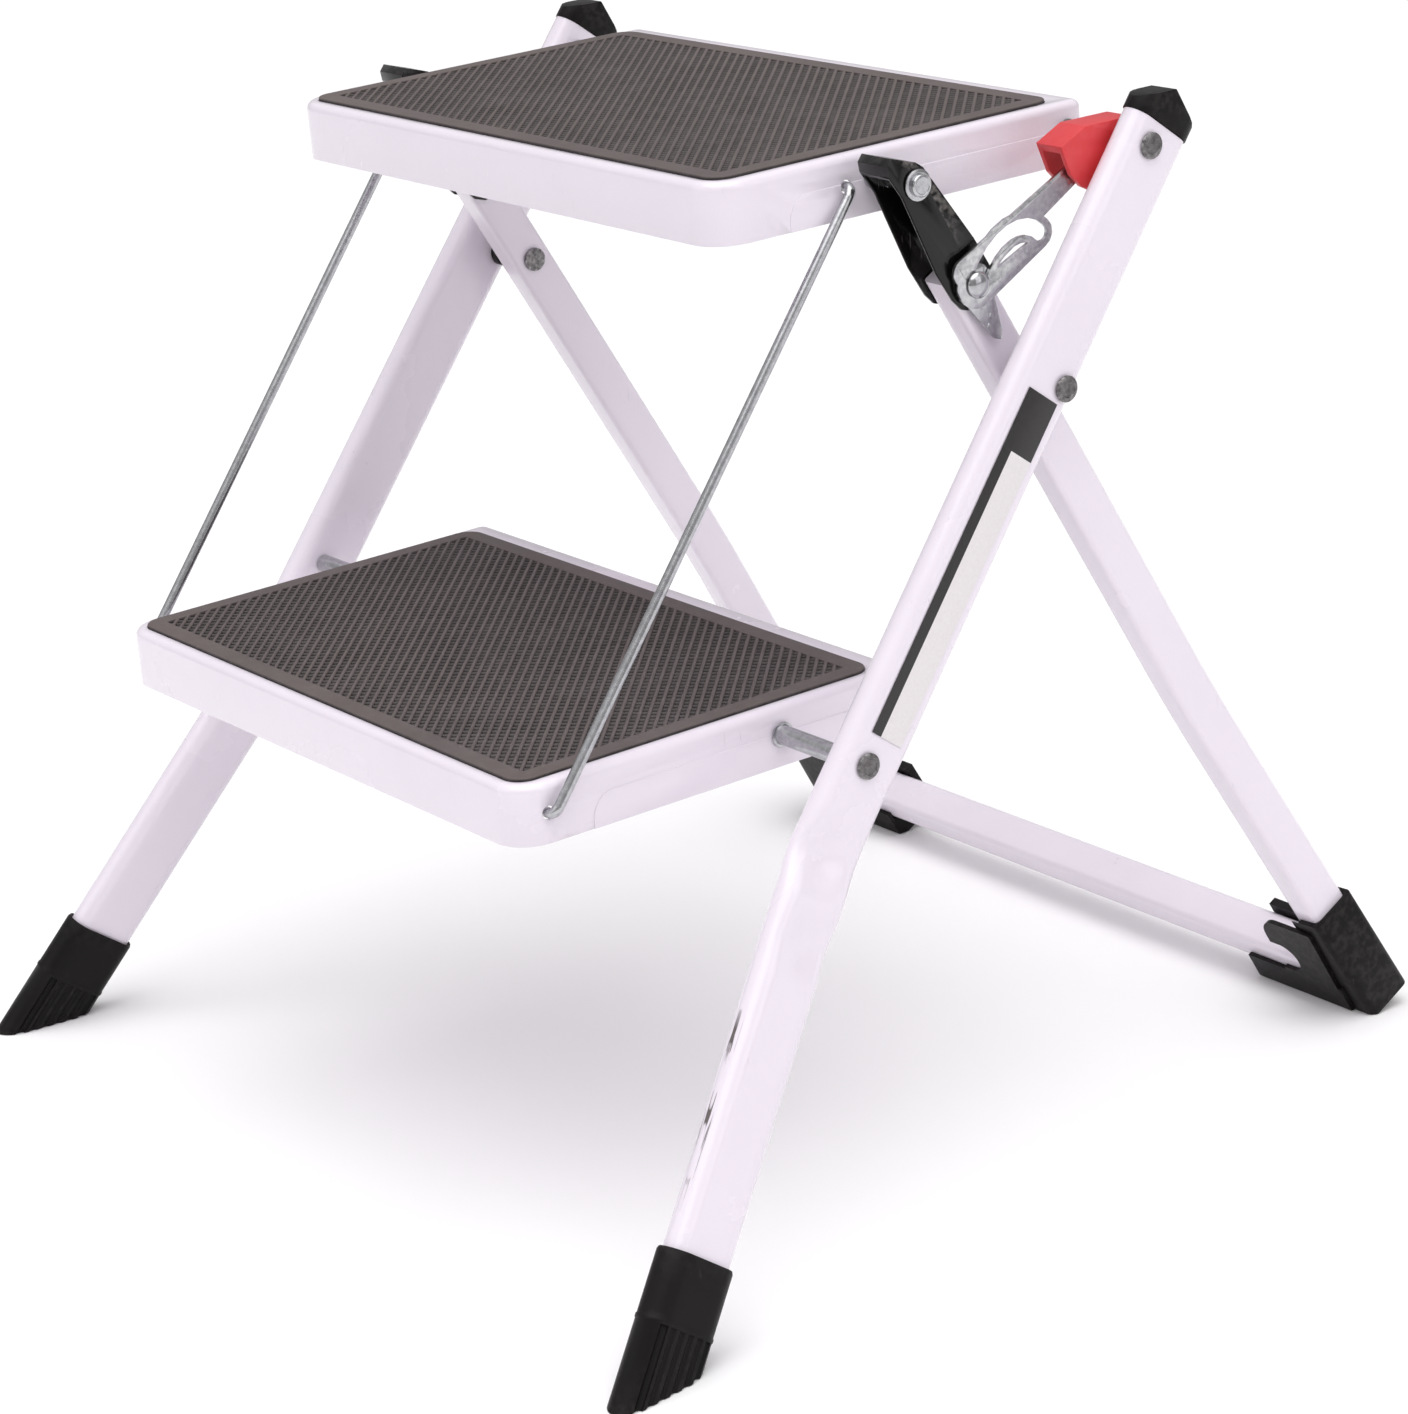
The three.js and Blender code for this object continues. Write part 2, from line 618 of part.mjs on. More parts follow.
function rearLeg() {
  const shape = rearSection(0);
  shape.holes.push(rearSection(-REAR_TUBE_WALL));
  const fromX = REAR_AXIS_X - REAR_TUBE_WIDTH;
  const toX = REAR_AXIS_X + REAR_TUBE_WIDTH;
  const crossHole = bar(crossPivot, PIVOT_PIN_RADIUS + PIN_GAP, fromX, toX);
  const kneeHole = bar(kneePivot, KNEE_PIN_RADIUS + PIN_GAP, fromX, toX);
  return cut(tube(rearRoute(rearEndHeight), shape), crossHole, kneeHole);
}

// The crossbar's section, or a boot outline around it, in the tilted plane of the rear legs
function tilted(centre, back, front, top, bottom) {
  return outline([
    onRearLeg(centre, bottom, front),
    onRearLeg(centre, bottom, back),
    onRearLeg(centre, top, back),
    onRearLeg(centre, top, front),
  ]);
}

function rearCrossbar() {
  const lean = REAR_TUBE_WIDTH / 2 + GAP + BAR_HEIGHT * REAR_LOWER_SPLAY;
  const halfLength = rearAxisX(barCentre[1]) - lean;
  const section = roundedRectangle(BAR_HEIGHT, BAR_DEPTH, REAR_TUBE_CORNER);
  const wall = REAR_TUBE_WALL * 2;
  section.holes.push(roundedRectangle(
    BAR_HEIGHT - wall, BAR_DEPTH - wall, REAR_TUBE_CORNER - REAR_TUBE_WALL));
  const geometry = new THREE.ExtrudeGeometry(section, {
    depth: halfLength * 2, bevelEnabled: false, curveSegments: 2,
  });
  geometry.translate(0, 0, -halfLength);
  geometry.applyMatrix4(new THREE.Matrix4().makeBasis(
    new THREE.Vector3(0, ...rearUp), new THREE.Vector3(0, ...rearBack).negate(),
    new THREE.Vector3(1, 0, 0)));
  geometry.translate(0, ...barCentre);
  return solid(geometry);
}

// A corner boot: a sleeve up the leg, and a trough under the end of the crossbar
function rearBoot() {
  const sleeveTop = onRearLeg(sole, BOOT_SLEEVE, 0)[1];
  const section = roundedRectangle(BOOT_SLEEVE_WIDTH, bootHalfDepth * 2, REAR_TUBE_CORNER + 1);
  const sleeve = tube([rearAxis(sleeveTop), rearAxis(-OVERCUT * 2)], section);
  const legX = rearAxisX(rearEndHeight);
  const trough = join(
    across(tilted(sole, bootHalfDepth, -bootHalfDepth - BAR_AHEAD, BOOT_FRONT_WALL, 0),
      BOOT_INNER_END, legX),
    across(tilted(sole, bootHalfDepth, BAR_DEPTH / 2 - BAR_AHEAD + GAP, BOOT_BACK_WALL, 0),
      BOOT_INNER_END, legX));
  const halfBar = BAR_DEPTH / 2 + GAP;
  const barSpace = across(
    tilted(barCentre, halfBar, -halfBar, BOOT_BACK_WALL * 2, -BAR_HEIGHT / 2 - GAP),
    BOOT_INNER_END - OVERCUT, legX - REAR_TUBE_WIDTH / 2);
  const legSpace = tube(
    [rearAxis(sleeveTop + OVERCUT), rearAxis(rearEndHeight - GAP)], rearSection(GAP));
  const underSole = across(
    tilted(sole, FOOT_LENGTH, -FOOT_LENGTH, 0, -FOOT_LENGTH),
    BOOT_INNER_END - OVERCUT, legX + FOOT_LENGTH);
  return cut(join(sleeve, trough), barSpace, legSpace, underSole, floorCut());
}

// ---- Support links ------------------------------------------------------------------------

// Outline of the link's side, from the knee up to the hood over the support pivot
function linkOutline() {
  const knee = (up, back) => onRearLeg(kneePivot, up, back);
  const head = (up, back) => onRearLeg(supportPivot, up, back);
  const points = [];
  for (let i = 0; i <= 6; i += 1) {
    const angle = Math.PI * (1 + i / 6);
    const back = Math.cos(angle) * LINK_BOTTOM_RADIUS;
    points.push(knee(Math.sin(angle) * LINK_BOTTOM_RADIUS, back));
  }
  points.push(
    knee(WEB_START, WEB_BACK + LINK_SHEET),
    ...HOOD_OUTSIDE.map(([up, back]) => head(up, back)),
    head(0, -LINK_HEAD_FRONT),
    knee(WEB_START, -LINK_FRONT));
  return outline(points);
}

// The space between the link's sides: open at the front, below, and behind the knee
function linkSpace() {
  const knee = (up, back) => onRearLeg(kneePivot, up, back);
  const head = (up, back) => onRearLeg(supportPivot, up, back);
  return outline([
    knee(-LINK_BOTTOM_RADIUS * 2, -LINK_FRONT * 2),
    knee(-LINK_BOTTOM_RADIUS * 2, LINK_FRONT * 2),
    knee(WEB_START, LINK_FRONT * 2),
    knee(WEB_START, WEB_BACK),
    ...HOOD_INSIDE.map(([up, back]) => head(up, back)),
    head(HOOD_LIP, -LINK_FRONT * 2),
  ]);
}

function supportLink() {
  const body = across(linkOutline(), linkInnerX, linkOuterX);
  const space = across(linkSpace(), linkInnerX + LINK_SHEET, linkOuterX - LINK_SHEET);
  const radius = KNEE_PIN_RADIUS + PIN_GAP;
  const kneeHole = bar(kneePivot, radius, linkInnerX - 1, linkOuterX + 1);
  const headHole = bar(supportPivot, radius, linkInnerX - 1, linkOuterX + 1);
  return cut(body, space, kneeHole, headHole);
}

// The link's own pin: it faces the stud on the tread, and carries a washer and a flat head
function linkPin() {
  const washerX = linkOuterX + GAP;
  return pin(supportPivot, [
    [TREAD_HALF_WIDTH + LINK_PIN_START, KNEE_PIN_RADIUS],
    [washerX, KNEE_PIN_RADIUS],
    [washerX, WASHER_RADIUS],
    [washerX + LINK_PIN_WASHER, WASHER_RADIUS],
    [washerX + LINK_PIN_WASHER, LINK_PIN_HEAD_RADIUS],
    [washerX + LINK_PIN_EDGE, LINK_PIN_HEAD_RADIUS],
    [washerX + LINK_PIN_FACE, RIVET_FACE_RADIUS],
  ]);
}

// The knee pin through the rear leg, the link's sides and, on the right, the lever's slot
function kneePin(headX) {
  const tailX = linkInnerX - GAP - RIVET_HEAD;
  return pin(kneePivot, [
    [tailX, RIVET_HEAD_RADIUS],
    [tailX + RIVET_HEAD, RIVET_HEAD_RADIUS],
    [tailX + RIVET_HEAD, KNEE_PIN_RADIUS],
    [headX + GAP, KNEE_PIN_RADIUS],
    ...KNEE_DOME.map(([rise, radius]) => [headX + GAP + rise, radius]),
  ]);
}

// ---- Lock lever ---------------------------------------------------------------------------

// Where the knee pin lies on the lever as the stool folds, from open to shut
function slotRoute() {
  const points = [];
  for (let i = 0; i <= SLOT_STEPS; i += 1) {
    const share = i / SLOT_STEPS;
    const knee = turned(kneePivot, crossPivot, -REAR_FOLD * share);
    points.push(turned(knee, topPivot, -LEVER_FOLD * share));
  }
  return points;
}

// A round-ended band of constant half-width along a side-view route
function band(route, halfWidth) {
  const left = [];
  const right = [];
  const heading = (i) => {
    const a = route[Math.max(i - 1, 0)];
    const b = route[Math.min(i + 1, route.length - 1)];
    return Math.atan2(b[1] - a[1], b[0] - a[0]);
  };
  const at = ([y, z], angle) => [
    y + Math.cos(angle) * halfWidth, z + Math.sin(angle) * halfWidth];
  route.forEach((point, i) => {
    left.push(at(point, heading(i) + Math.PI / 2));
    right.push(at(point, heading(i) - Math.PI / 2));
  });
  const capAt = (i, turn) => [-60, -30, 0, 30, 60].map(
    (degrees) => at(route[i], heading(i) + turn + THREE.MathUtils.degToRad(degrees)));
  const last = route.length - 1;
  return [...right, ...capAt(last, 0), ...left.reverse(), ...capAt(0, Math.PI)];
}

function lockLever() {
  const route = slotRoute();
  const pinSpace = KNEE_PIN_RADIUS + SLOT_GAP;
  const strip = band(route, pinSpace + LEVER_STRIP);
  const kneeEnd = bar(kneePivot, LEVER_KNEE_RADIUS, leverX, leverOuterX, ROUND_SEGMENTS);
  const pivotEnd = bar(topPivot, LEVER_PIVOT_RADIUS, leverX, leverOuterX, ROUND_SEGMENTS);
  const reach = Math.hypot(kneePivot[0] - topPivot[0], kneePivot[1] - topPivot[1]);
  const ahead = [(kneePivot[0] - topPivot[0]) / reach, (kneePivot[1] - topPivot[1]) / reach];
  const lift = [ahead[1], -ahead[0]];
  const onLever = (start, along, rise) => offset(start, ahead, along, lift, rise);
  const shoulder = onLever(kneePivot, LEVER_SHOULDER_AHEAD, LEVER_SHOULDER_RISE);
  const shoulderEnd = bar(shoulder, LEVER_SHOULDER_RADIUS, leverX, leverOuterX, ROUND_SEGMENTS);
  const blade = outline([
    kneePivot, topPivot, onLever(topPivot, 0, LEVER_PIVOT_RADIUS),
    onLever(shoulder, 0, LEVER_SHOULDER_RADIUS),
  ]);
  const slotEnd = route[SLOT_STEPS];
  const underside = outline([
    kneePivot, onLever(kneePivot, 0, -LEVER_KNEE_RADIUS),
    onLever(slotEnd, 0, -pinSpace - LEVER_STRIP), slotEnd,
  ]);
  const plate = join(
    across(outline(strip), leverX, leverOuterX), kneeEnd, pivotEnd, shoulderEnd,
    across(blade, leverX, leverOuterX), across(underside, leverX, leverOuterX));
  const slot = across(outline(band(route, pinSpace)), leverX - 1, leverOuterX + 1);
  const hole = bar(topPivot, PIVOT_PIN_RADIUS + PIN_GAP, leverX - 1, leverOuterX + 1);
  return cut(plate, slot, hole);
}

// The red grip saddled over the lever's pivot end
function lockHandle() {
  const side = (points) => outline(
    points.map(([y, z]) => [topPivot[0] + y, topPivot[1] + z]));
  const body = across(side(HANDLE_SHELL), HANDLE_INNER_X, HANDLE_OUTER_X);
  const space = across(
    side(HANDLE_HOLLOW), HANDLE_INNER_X + HANDLE_WALL, HANDLE_OUTER_X - HANDLE_WALL);
  const notchCut = across(side(HANDLE_NOTCH), HANDLE_INNER_X - 1, leverX - LEVER_SHEET);
  const hole = bar(
    topPivot, PIVOT_PIN_RADIUS + PIN_GAP, HANDLE_INNER_X - 1, HANDLE_OUTER_X + 1);
  return cut(body, space, notchCut, hole);
}

// The catch plate on the rear leg's outer side, tapering down from the knee
function catchPlate() {
  const tip = onRearLeg(kneePivot, -CATCH_TIP_DOWN, -CATCH_TIP_AHEAD);
  const points = [];
  for (let i = 0; i <= 8; i += 1) {
    const angle = Math.PI * (i / 8);
    points.push(onRearLeg(
      kneePivot, Math.sin(angle) * CATCH_RADIUS, Math.cos(angle) * CATCH_RADIUS));
  }
  points.push(
    onRearLeg(tip, 0, -CATCH_TIP_RADIUS),
    onRearLeg(tip, -CATCH_TIP_RADIUS, 0),
    onRearLeg(tip, 0, CATCH_TIP_RADIUS));
  const plate = across(outline(points), catchX, catchX + CATCH_SHEET);
  return cut(plate, bar(kneePivot, KNEE_PIN_RADIUS + PIN_GAP, catchX - 1, leverX));
}

// ---- Assembly -----------------------------------------------------------------------------

const stool = new THREE.Group();

function place(name, manifold, look) {
  const mesh = new THREE.Mesh(geometryOf(manifold), new THREE.MeshStandardMaterial(look));
  mesh.name = name;
  stool.add(mesh);
}

function placePair(name, manifold, look) {
  place(`${name}_right`, manifold, look);
  place(`${name}_left`, mirrored(manifold), look);
}

placePair('front_leg', frontLeg(), PAINT);
placePair('front_cap', frontCap(), BLACK_PLASTIC);
placePair('front_foot', frontFoot(), BLACK_PLASTIC);
placePair('top_pivot_pin', legPin(topPivot, treadTailX, TAIL_HEAD_RADIUS), ZINC);
placePair('step_pivot_pin', legPin(stepPivot, treadTailX, TAIL_HEAD_RADIUS), ZINC);
placePair('cross_pivot_pin', legPin(crossPivot, crossTailX, RIVET_HEAD_RADIUS), ZINC);
place('top_spacer_right',
  spacer(topPivot, TREAD_HALF_WIDTH, HANDLE_INNER_X - GAP, SLEEVE_RADIUS), ZINC);
place('top_spacer_left',
  mirrored(spacer(topPivot, TREAD_HALF_WIDTH, frontInner(topPivot[1]), SLEEVE_RADIUS)), ZINC);
placePair('step_spacer',
  spacer(stepPivot, TREAD_HALF_WIDTH, frontInner(stepPivot[1]), SLEEVE_RADIUS), ZINC);
placePair('cross_washer', crossWasher(), BLACK_PLASTIC);
place('blank_label', blankLabel(), PAPER);

place('top_step', topStep(), PAINT);
place('top_mat', mat(topPivot, TOP_DEPTH, TOP_PIVOT_TO_BACK, TOP_HEIGHT), RUBBER);
placePair('support_stud', supportStud(), ZINC);
place('lower_step', lowerStep(), PAINT);
place('lower_mat', mat(stepPivot, STEP_DEPTH, STEP_PIVOT_TO_BACK, STEP_HEIGHT), RUBBER);
placePair('tie_rod', tieRod(), ZINC);

placePair('rear_leg', rearLeg(), PAINT);
place('rear_crossbar', rearCrossbar(), PAINT);
placePair('rear_boot', rearBoot(), BLACK_PLASTIC);
place('knee_pin_right', kneePin(leverOuterX), ZINC);
place('knee_pin_left', mirrored(kneePin(linkOuterX)), ZINC);
place('catch_plate', catchPlate(), ZINC);

placePair('support_link', supportLink(), BLACK_STEEL);
placePair('link_pin', linkPin(), ZINC);
place('lock_lever', lockLever(), ZINC);
place('lock_handle', lockHandle(), RED_PLASTIC);

// Centre the stool over the origin, front to back
const extent = new THREE.Box3().setFromObject(stool);
stool.position.y = -(extent.min.y + extent.max.y) / 2;

export default stool;
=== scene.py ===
# A folding step stool with two treads, in metres: X across, Y to the back, Z up.
import json
import math

import bpy
from mathutils import Matrix, Vector

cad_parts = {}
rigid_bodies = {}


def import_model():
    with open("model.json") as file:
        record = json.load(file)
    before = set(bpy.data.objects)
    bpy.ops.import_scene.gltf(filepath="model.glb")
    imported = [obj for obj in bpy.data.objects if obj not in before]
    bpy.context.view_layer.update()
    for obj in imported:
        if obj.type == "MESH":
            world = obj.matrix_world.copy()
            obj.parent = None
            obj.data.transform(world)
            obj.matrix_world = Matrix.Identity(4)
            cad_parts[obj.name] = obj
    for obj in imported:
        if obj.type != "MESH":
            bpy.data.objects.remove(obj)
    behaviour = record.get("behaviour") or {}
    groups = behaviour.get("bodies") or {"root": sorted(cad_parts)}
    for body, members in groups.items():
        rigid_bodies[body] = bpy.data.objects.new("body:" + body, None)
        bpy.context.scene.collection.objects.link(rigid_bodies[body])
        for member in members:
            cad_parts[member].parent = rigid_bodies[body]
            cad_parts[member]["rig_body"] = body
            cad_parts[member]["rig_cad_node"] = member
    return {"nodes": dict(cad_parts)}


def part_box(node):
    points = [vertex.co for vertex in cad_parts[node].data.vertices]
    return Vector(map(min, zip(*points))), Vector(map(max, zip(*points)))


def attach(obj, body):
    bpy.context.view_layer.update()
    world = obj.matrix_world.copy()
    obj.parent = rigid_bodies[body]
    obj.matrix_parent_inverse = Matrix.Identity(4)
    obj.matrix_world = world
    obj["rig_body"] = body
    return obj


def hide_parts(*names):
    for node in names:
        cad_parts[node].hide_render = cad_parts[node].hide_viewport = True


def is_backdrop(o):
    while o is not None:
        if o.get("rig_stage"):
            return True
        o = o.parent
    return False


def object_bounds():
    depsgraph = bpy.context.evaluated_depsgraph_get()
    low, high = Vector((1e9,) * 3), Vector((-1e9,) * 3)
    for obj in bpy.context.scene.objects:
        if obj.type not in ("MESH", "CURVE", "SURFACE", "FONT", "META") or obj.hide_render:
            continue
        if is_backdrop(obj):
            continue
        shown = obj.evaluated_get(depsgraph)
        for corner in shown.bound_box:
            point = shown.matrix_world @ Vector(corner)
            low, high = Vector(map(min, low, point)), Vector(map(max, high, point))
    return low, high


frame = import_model()
cad_low, cad_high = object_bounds()

# ---- Front legs ---------------------------------------------------------------------------
# Two lengths of flat-oval steel tube that carry both treads. Each is pressed outwards below
# the lower tread, which leaves shallow dents at the bend, and powder-coated glossy white.

TUBE_WIDTH = 0.0141
TUBE_DEPTH = 0.0329
LEG_TOP = 0.43445
AXIS_BEHIND_PINS = 0.0035
LEG_END = 0.016
LEG_BEND = 0.1735
BEND_REACH = 0.0205
UPPER_SPLAY = 0.022
EXTRA_SPLAY = 0.245
DENT_DEPTH = 0.0042
DENT_REACH = 0.019
RUB_HEIGHT = 0.088


def pin_centre(node):
    low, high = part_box(node)
    return (low + high) / 2


top_pivot = pin_centre("top_pivot_pin_right")
step_pivot = pin_centre("step_pivot_pin_right")
cross_pivot = pin_centre("cross_pivot_pin_right")
knee_pivot = pin_centre("knee_pin_right")
link_pivot = pin_centre("link_pin_right")
leg_up = Vector((0, top_pivot.y - step_pivot.y, top_pivot.z - step_pivot.z)).normalized()
leg_back = Vector((0, leg_up.z, -leg_up.y))
leg_axis_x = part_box("front_leg_right")[0].x + TUBE_WIDTH / 2


def leg_centre(height):
    """The middle of the right front leg at a height."""
    bend = min(max(LEG_BEND + BEND_REACH - height, 0) / (2 * BEND_REACH), 1)
    lower = max(LEG_BEND - BEND_REACH - height, 0)
    out = UPPER_SPLAY * (LEG_TOP - height) + EXTRA_SPLAY * (BEND_REACH * bend ** 2 + lower)
    behind = top_pivot.y + leg_back.y * AXIS_BEHIND_PINS
    rise = height - top_pivot.z - leg_back.z * AXIS_BEHIND_PINS
    return Vector((leg_axis_x + out, behind + rise * leg_up.y / leg_up.z, height))


def deselect():
    if bpy.context.object and bpy.context.object.mode == "EDIT":
        bpy.ops.object.mode_set(mode="OBJECT")
    bpy.ops.object.select_all(action="DESELECT")


def apply_place():
    bpy.ops.object.transform_apply(location=True, rotation=True, scale=True)


def choose(piece):
    """Makes the piece active, and the only one selected."""
    deselect()
    piece.select_set(True)
    bpy.context.view_layer.objects.active = piece


def pick(piece, vertex_test=None, edge_test=None, face_test=None):
    """Selects what passes a test of its place, and leaves the piece in edit mode."""
    bpy.ops.object.mode_set(mode="EDIT")
    bpy.ops.mesh.select_all(action="DESELECT")
    kind = "VERT" if vertex_test else "EDGE" if edge_test else "FACE"
    bpy.ops.mesh.select_mode(type=kind)
    bpy.ops.object.mode_set(mode="OBJECT")
    mesh = piece.data
    if vertex_test:
        for vertex in mesh.vertices:
            vertex.select = vertex_test(vertex.co)
    elif edge_test:
        for edge in mesh.edges:
            edge.select = edge_test(*(mesh.vertices[i].co for i in edge.vertices))
    else:
        for face in mesh.polygons:
            face.select = face_test(face.center, face.normal)
    bpy.ops.object.mode_set(mode="EDIT")


def settle(piece, name, angle=40):
    """Takes the piece out of edit mode, puts its place into its mesh and smooths its curves."""
    if piece.mode == "EDIT":
        bpy.ops.mesh.select_all(action="SELECT")
        bpy.ops.mesh.normals_make_consistent(inside=False)
    choose(piece)
    apply_place()
    bpy.ops.object.shade_smooth_by_angle(angle=math.radians(angle))
    piece.name = name
    piece.data.name = name
    return piece


def mirror(piece):
    piece.data.transform(Matrix.Scale(-1, 4, (1, 0, 0)))
    piece.data.flip_normals()


def opposite(piece, name):
    """The same piece for the left-hand side."""
    twin = piece.copy()
    twin.data = piece.data.copy()
    bpy.context.scene.collection.objects.link(twin)
    mirror(twin)
    twin.name = name
    twin.data.name = name
    return twin


def section(centre, along, across, width, depth, corner, count=36):
    """A ring of edges with rounded corners, square to a direction and left in edit mode."""
    deselect()
    third = along.cross(across).normalized()
    turn = Matrix((across, third, along)).transposed().to_euler()
    bpy.ops.mesh.primitive_circle_add(
        vertices=count, radius=corner, location=centre, rotation=turn)
    ring = bpy.context.object
    apply_place()
    spin = math.pi / count
    bpy.ops.object.mode_set(mode="EDIT")
    bpy.ops.mesh.select_all(action="SELECT")
    bpy.ops.object.mode_set(mode="OBJECT")
    ring.data.transform(
        Matrix.Translation(centre) @ Matrix.Rotation(spin, 4, along)
        @ Matrix.Translation(-centre))
    for line, reach in ((across, width / 2 - corner), (third, depth / 2 - corner)):
        for sign in (1, -1):
            if reach > 1e-6:
                pick(ring, vertex_test=lambda co: (co - centre).dot(line) * sign > 0)
                bpy.ops.transform.translate(value=line * reach * sign)
    pick(ring, edge_test=lambda a, b: (a - b).length > corner)
    bpy.ops.mesh.subdivide(number_cuts=5)
    bpy.ops.mesh.select_all(action="SELECT")
    return ring


def draw_out(steps):
    """Extrudes the selected ring by each step in turn."""
    for step in steps:
        bpy.ops.mesh.extrude_region_move(TRANSFORM_OT_translate={"value": step})


def close_ends(piece):
    """Fills every open ring of the piece."""
    bpy.ops.mesh.select_all(action="SELECT")
    bpy.ops.mesh.select_mode(type="EDGE")
    bpy.ops.mesh.select_all(action="DESELECT")
    bpy.ops.mesh.select_non_manifold()
    bpy.ops.mesh.edge_face_add()


heights = [LEG_TOP, 0.36, 0.28, 0.215]
heights += [0.209 - 0.004 * i for i in range(20)]
heights += [0.12, 0.1, 0.08, 0.06, 0.04, LEG_END]
route = [leg_centre(height) for height in heights]
leg = section(route[0], -leg_up, Vector((1, 0, 0)), TUBE_WIDTH, TUBE_DEPTH, TUBE_WIDTH / 2)
draw_out([b - a for a, b in zip(route, route[1:])])
close_ends(leg)
dents = [(0.174, -0.007, -1, 1.0), (0.146, 0.003, -1, 0.7), (0.160, 0.012, 1, 0.35)]
for height, behind, push, share in dents:
    spot = leg_centre(height) + leg_back * behind + Vector((TUBE_WIDTH / 2, 0, 0))
    pick(leg, vertex_test=lambda co: (co - spot).length < 0.0035)
    bpy.ops.transform.translate(
        value=(push * DENT_DEPTH * share, 0, 0), use_proportional_edit=True,
        proportional_edit_falloff="SMOOTH", proportional_size=DENT_REACH)
settle(leg, "leg_tube_right", 50)


def shader_group(name, inputs, outputs):
    """An empty node group with its sockets, and its two end nodes."""
    group = bpy.data.node_groups.new(name, "ShaderNodeTree")
    for label, value in inputs.items():
        socket = group.interface.new_socket(
            name=label, in_out="INPUT", socket_type="NodeSocketFloat")
        socket.default_value = value
    for label in outputs:
        group.interface.new_socket(
            name=label, in_out="OUTPUT", socket_type="NodeSocketFloat")
    return group, group.nodes.new("NodeGroupInput"), group.nodes.new("NodeGroupOutput")


def put(tree, kind, values, **settings):
    """Adds a node, sets its options, and sets or links its inputs."""
    node = tree.nodes.new("ShaderNode" + kind)
    for label, value in settings.items():
        setattr(node, label, value)
    for label, value in values.items():
        if isinstance(value, bpy.types.NodeSocket):
            tree.links.new(value, node.inputs[label])
        else:
            node.inputs[label].default_value = value
    return node


def times(tree, a, b, operation="MULTIPLY"):
    return put(tree, "Math", {0: a, 1: b}, operation=operation).outputs[0]


def remap(tree, value, low, high, to_low=0.0, to_high=1.0):
    node = put(tree, "MapRange", {
        "Value": value, "From Min": low, "From Max": high, "To Min": to_low, "To Max": to_high})
    return node.outputs["Result"]


def own_place(tree):
    return put(tree, "TexCoord", {}).outputs["Object"]


def noise(tree, place, scale, detail):
    values = {"Vector": place, "Scale": scale, "Detail": detail}
    return put(tree, "TexNoise", values).outputs["Fac"]


# Fine ripple of a sprayed or moulded skin
ripple, ends_in, ends_out = shader_group(
    "skin_ripple", {"Scale": 900.0, "Swell": 120.0}, ["Height", "Mottle"])
place = own_place(ripple)
fine = noise(ripple, place, ends_in.outputs["Scale"], 3.0)
broad = noise(ripple, place, ends_in.outputs["Swell"], 4.0)
mixed = times(ripple, times(ripple, fine, 0.4), times(ripple, broad, 0.6), "ADD")
ripple.links.new(mixed, ends_out.inputs["Height"])
slow = noise(ripple, place, 9.0, 6.0)
ripple.links.new(slow, ends_out.inputs["Mottle"])

# Thin scratches and small chips from handling and storage
scuffs, ends_in, ends_out = shader_group(
    "handling_marks", {"Length": 26.0, "Fineness": 900.0, "Amount": 0.5}, ["Scratches", "Chips"])
place = own_place(scuffs)
tilt = put(scuffs, "Mapping", {
    "Vector": place, "Rotation": (0.66, 0.1, 0.3), "Scale": (1.0, 1.0, 0.06)})
lines = put(scuffs, "TexNoise", {
    "Vector": tilt.outputs[0], "Scale": ends_in.outputs["Fineness"], "Detail": 2.0})
line_mask = remap(scuffs, lines.outputs["Fac"], 0.66, 0.71)
where = noise(scuffs, place, ends_in.outputs["Length"], 3.0)
patch = remap(scuffs, where, 0.56, 0.66)
scratch = times(scuffs, times(scuffs, line_mask, patch), ends_in.outputs["Amount"])
scuffs.links.new(scratch, ends_out.inputs["Scratches"])
specks = put(scuffs, "TexVoronoi", {"Vector": place, "Scale": 160.0}).outputs["Distance"]
chip_noise = noise(scuffs, place, 38.0, 5.0)
chips = times(
    scuffs, remap(scuffs, specks, 0.17, 0.09), remap(scuffs, chip_noise, 0.66, 0.72))
scuffs.links.new(times(scuffs, chips, ends_in.outputs["Amount"]), ends_out.inputs["Chips"])

# Wear that follows sharp edges, broken up by noise
worn, ends_in, ends_out = shader_group("edge_wear", {"Spread": 0.52, "Scale": 220.0}, ["Edges"])
sharp = put(worn, "NewGeometry", {}).outputs["Pointiness"]
place = own_place(worn)
grit = noise(worn, place, ends_in.outputs["Scale"], 5.0)
edge = remap(worn, sharp, ends_in.outputs["Spread"], 0.62)
broken = times(worn, edge, remap(worn, grit, 0.42, 0.62))
worn.links.new(broken, ends_out.inputs["Edges"])

# Settled dust on what faces upwards
dusty, ends_in, ends_out = shader_group("settled_dust", {"Amount": 0.3}, ["Dust"])
facing = put(dusty, "SeparateXYZ", {0: put(dusty, "NewGeometry", {}).outputs["Normal"]})
place = own_place(dusty)
cloud = noise(dusty, place, 34.0, 8.0)
lying = times(dusty, remap(dusty, facing.outputs["Z"], -0.2, 1.0), remap(dusty, cloud, 0.3, 0.8))
dusty.links.new(times(dusty, lying, ends_in.outputs["Amount"]), ends_out.inputs["Dust"])


def effect(tree, group, **values):
    node = tree.nodes.new("ShaderNodeGroup")
    node.node_tree = group
    for label, value in values.items():
        node.inputs[label].default_value = value
    return node.outputs


def blend_colours(tree, share, under, over):
    node = put(tree, "Mix", {0: share, 6: under, 7: over}, data_type="RGBA")
    return node.outputs[2]


def two_tone(tree, skin, under, over):
    """A colour that drifts slowly between two."""
    return blend_colours(tree, remap(tree, skin["Mottle"], 0.35, 0.65), under, over)


def material(name):
    made = bpy.data.materials.new(name)
    made.use_nodes = True
    tree = made.node_tree
    return made, tree, tree.nodes["Principled BSDF"]


